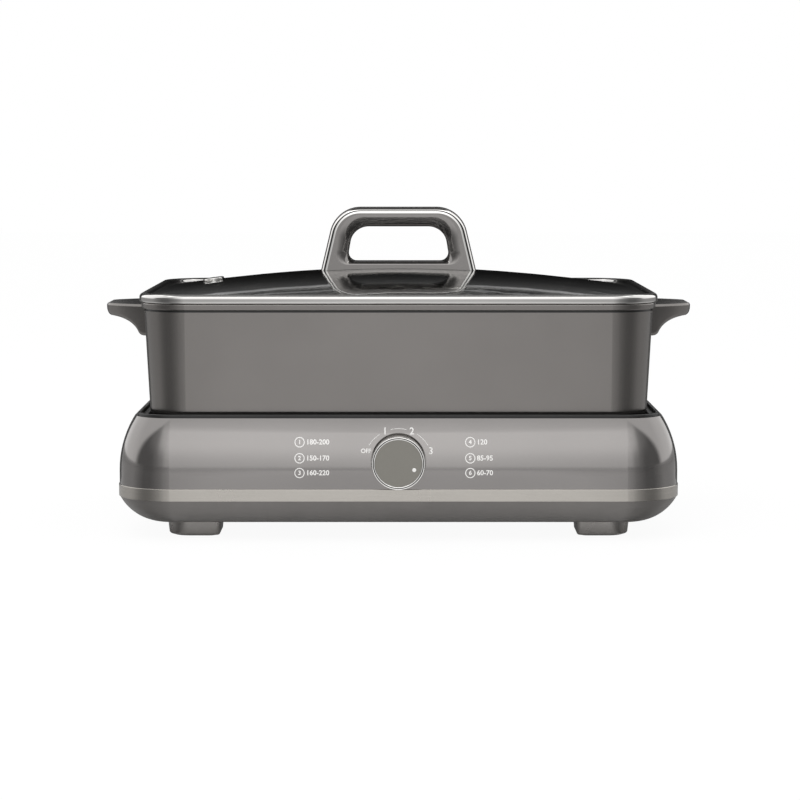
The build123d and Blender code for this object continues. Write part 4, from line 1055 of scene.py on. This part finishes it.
# levels of the card by height, in metres
lidCard = {
    "back": 0.155, "half": 0.36, "wing": 0.187, "low": 0.147, "top": 0.42, "barCurve": 2.2, "wingLevel": 0.12,
    "levels": {0: 0.008, 0.205: 0.008, 0.225: 0.016, 0.239: 0.032, 0.252: 0.06, 0.267: 0.11, 0.2695: 0.55,
               0.2745: 0.55, 0.277: 0.07, 0.287: 0.07, 0.2895: 0.47, 0.2935: 0.47, 0.296: 0.06},
}


def turnOf(tree, x, y):
    # angle round from straight ahead, the same to left and right
    angle = calc(tree, "ARCTAN2", x, calc(tree, "MULTIPLY", y, -1.0))
    return calc(tree, "DEGREES", calc(tree, "ABSOLUTE", angle))


def mirrorLevel(tree, turn, rise):
    gap = around["gap"]
    spreads = [ramp(tree, turn, around[name]) for name in ("frontSpreadLow", "frontSpreadHigh")]
    spread = between(tree, softStep(tree, rise, *around["spreadEnds"]), *spreads)
    front = between(tree, spread, gap, ramp(tree, rise, around["frontByRise"]))
    curve = calc(tree, "MULTIPLY", calc(tree, "POWER", rise, 2.0), around["sideCurve"])
    past = calc(tree, "SUBTRACT", calc(tree, "ADD", turn, curve), around["sideEdge"])
    sideShare = softStep(tree, past, -around["sideSoft"], around["sideSoft"])
    side = between(tree, sideShare, gap, ramp(tree, turn, around["side"]))
    share = calc(tree, "MULTIPLY", ramp(tree, rise, around["overheadRise"]),
                 ramp(tree, turn, around["overheadTurn"]))
    over = between(tree, share, around["upright"], around["overhead"])
    high = between(tree, softStep(tree, rise, *around["overEnds"]), calc(tree, "MAXIMUM", front, side), over)
    return between(tree, softStep(tree, rise, *around["lowEnds"]), ramp(tree, turn, around["low"]), high)


def straightRay(tree, path):
    return calc(tree, "MAXIMUM", path["Is Camera Ray"], path["Is Transmission Ray"])


def stagePiece(name, points, faces, shader):
    material, tree = newMaterial(name)
    put(tree, "OutputMaterial", {0: shader(tree).outputs[0]})
    mesh = newMesh(name, points, faces)
    mesh.materials.append(material)
    piece = bpy.data.objects.new(name, mesh)
    scene.collection.objects.link(piece)
    return piece


def buildLidCard():
    # a dark card close behind with two thin curved bars and grey wings, seen in mirrors and through glass
    half, wing, low, top, back = (lidCard[key] for key in ("half", "wing", "low", "top", "back"))
    points, faces = [], []
    for left, right, foot in ((-half, -wing, 0.0), (-wing, wing, low), (wing, half, 0.0)):
        faces.append(tuple(len(points) + corner for corner in range(4)))
        points += [(left, back, foot), (right, back, foot), (right, back, top), (left, back, top)]

    def shader(tree):
        place = put(tree, "SeparateXYZ", {0: objectCoords(tree)}).outputs
        bow = calc(tree, "MULTIPLY", calc(tree, "POWER", place[0], 2.0), lidCard["barCurve"])
        level = ramp(tree, calc(tree, "ADD", place[2], bow), lidCard["levels"])
        level = between(tree, calc(tree, "LESS_THAN", place[2], low), level, lidCard["wingLevel"])
        return put(tree, "Emission", {"Color": white, "Strength": level})

    card = stagePiece("lidCard", points, faces, shader)
    card.visible_camera = False
    card.visible_diffuse = False
    card.visible_shadow = False
    card.visible_volume_scatter = False


def buildFloor():
    half = studio["floorSize"] / 2
    points = [(-half, -half, 0), (half, -half, 0), (half, half, 0), (-half, half, 0)]
    low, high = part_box("trim_band")
    corner = studio["baseCorner"]

    def shader(tree):
        # camera and glass see it nearly white, mirrors see the low levels around, the rest plain grey
        path = put(tree, "LightPath").outputs
        mirror = path["Is Glossy Ray"]
        place = put(tree, "SeparateXYZ", {0: objectCoords(tree)}).outputs
        past = []
        for axis in range(2):
            ends = {0: place[axis], 1: low[axis] + corner, 2: high[axis] - corner}
            past.append(calc(tree, "SUBTRACT", place[axis], put(tree, "Clamp", ends).outputs[0]))
        level = ramp(tree, turnOf(tree, *past), around["low"])
        shares = zip(studio["floorCamera"], studio["floorMirror"])
        lift, soft = (between(tree, mirror, plain, calc(tree, "MULTIPLY", level, share))
                      for plain, share in shares)
        grey = put(tree, "BsdfDiffuse", {"Color": studio["floorGrey"]})
        tone = put(tree, "CombineColor", {0: soft, 1: soft, 2: soft}).outputs[0]
        shade = put(tree, "BsdfDiffuse", {"Color": tone})
        glow = put(tree, "Emission", {"Color": white, "Strength": lift})
        bright = put(tree, "AddShader", {0: shade.outputs[0], 1: glow.outputs[0]})
        seen = calc(tree, "MAXIMUM", straightRay(tree, path), mirror)
        return put(tree, "MixShader", {0: seen, 1: grey.outputs[0], 2: bright.outputs[0]})

    stagePiece("floor", points, [(0, 1, 2, 3)], shader)


def buildSky():
    world = bpy.data.worlds.new("surroundings")
    world.use_nodes = True
    tree = world.node_tree
    tree.nodes.clear()
    path = put(tree, "LightPath").outputs
    way = put(tree, "SeparateXYZ", {0: put(tree, "TexCoord").outputs["Generated"]}).outputs
    rise = calc(tree, "DEGREES", calc(tree, "ARCSINE", way[2]))
    mirror = mirrorLevel(tree, turnOf(tree, way[0], way[1]), rise)
    level = between(tree, straightRay(tree, path), studio["skyLight"], 1.0)
    level = between(tree, path["Is Glossy Ray"], level, mirror)
    sky = put(tree, "Background", {"Color": white, "Strength": level})
    put(tree, "OutputWorld", {0: sky.outputs[0]})
    scene.world = world


def buildKey():
    lamp = bpy.data.lights.new("key", "AREA")
    lamp.size = studio["keySize"]
    lamp.energy = studio["keyPower"]
    key = bpy.data.objects.new("key", lamp)
    key.location = studio["keyPlace"]
    key.rotation_euler = (Vector(studio["keyAim"]) - key.location).to_track_quat("-Z", "Y").to_euler()
    key.visible_glossy = False
    scene.collection.objects.link(key)


buildFloor()
buildLidCard()
buildSky()
buildKey()
scene.view_settings.view_transform = "Standard"
print("studio lit")


# camera, fitted to the photograph

view = {
    "place": (0.001, -1.7060, 0.25251), "tiltDown": 5.733, "focalPixels": 2490.0, "framePixels": 800.0,
    "sensor": 36.0,
}


def buildCamera():
    data = bpy.data.cameras.new("camera")
    data.sensor_width = view["sensor"]
    data.lens = data.sensor_width * view["focalPixels"] / view["framePixels"]
    camera = bpy.data.objects.new("camera", data)
    camera.location = view["place"]
    camera.rotation_euler = (math.radians(90 - view["tiltDown"]), 0, 0)
    scene.collection.objects.link(camera)
    scene.camera = camera


buildCamera()
print("camera set")
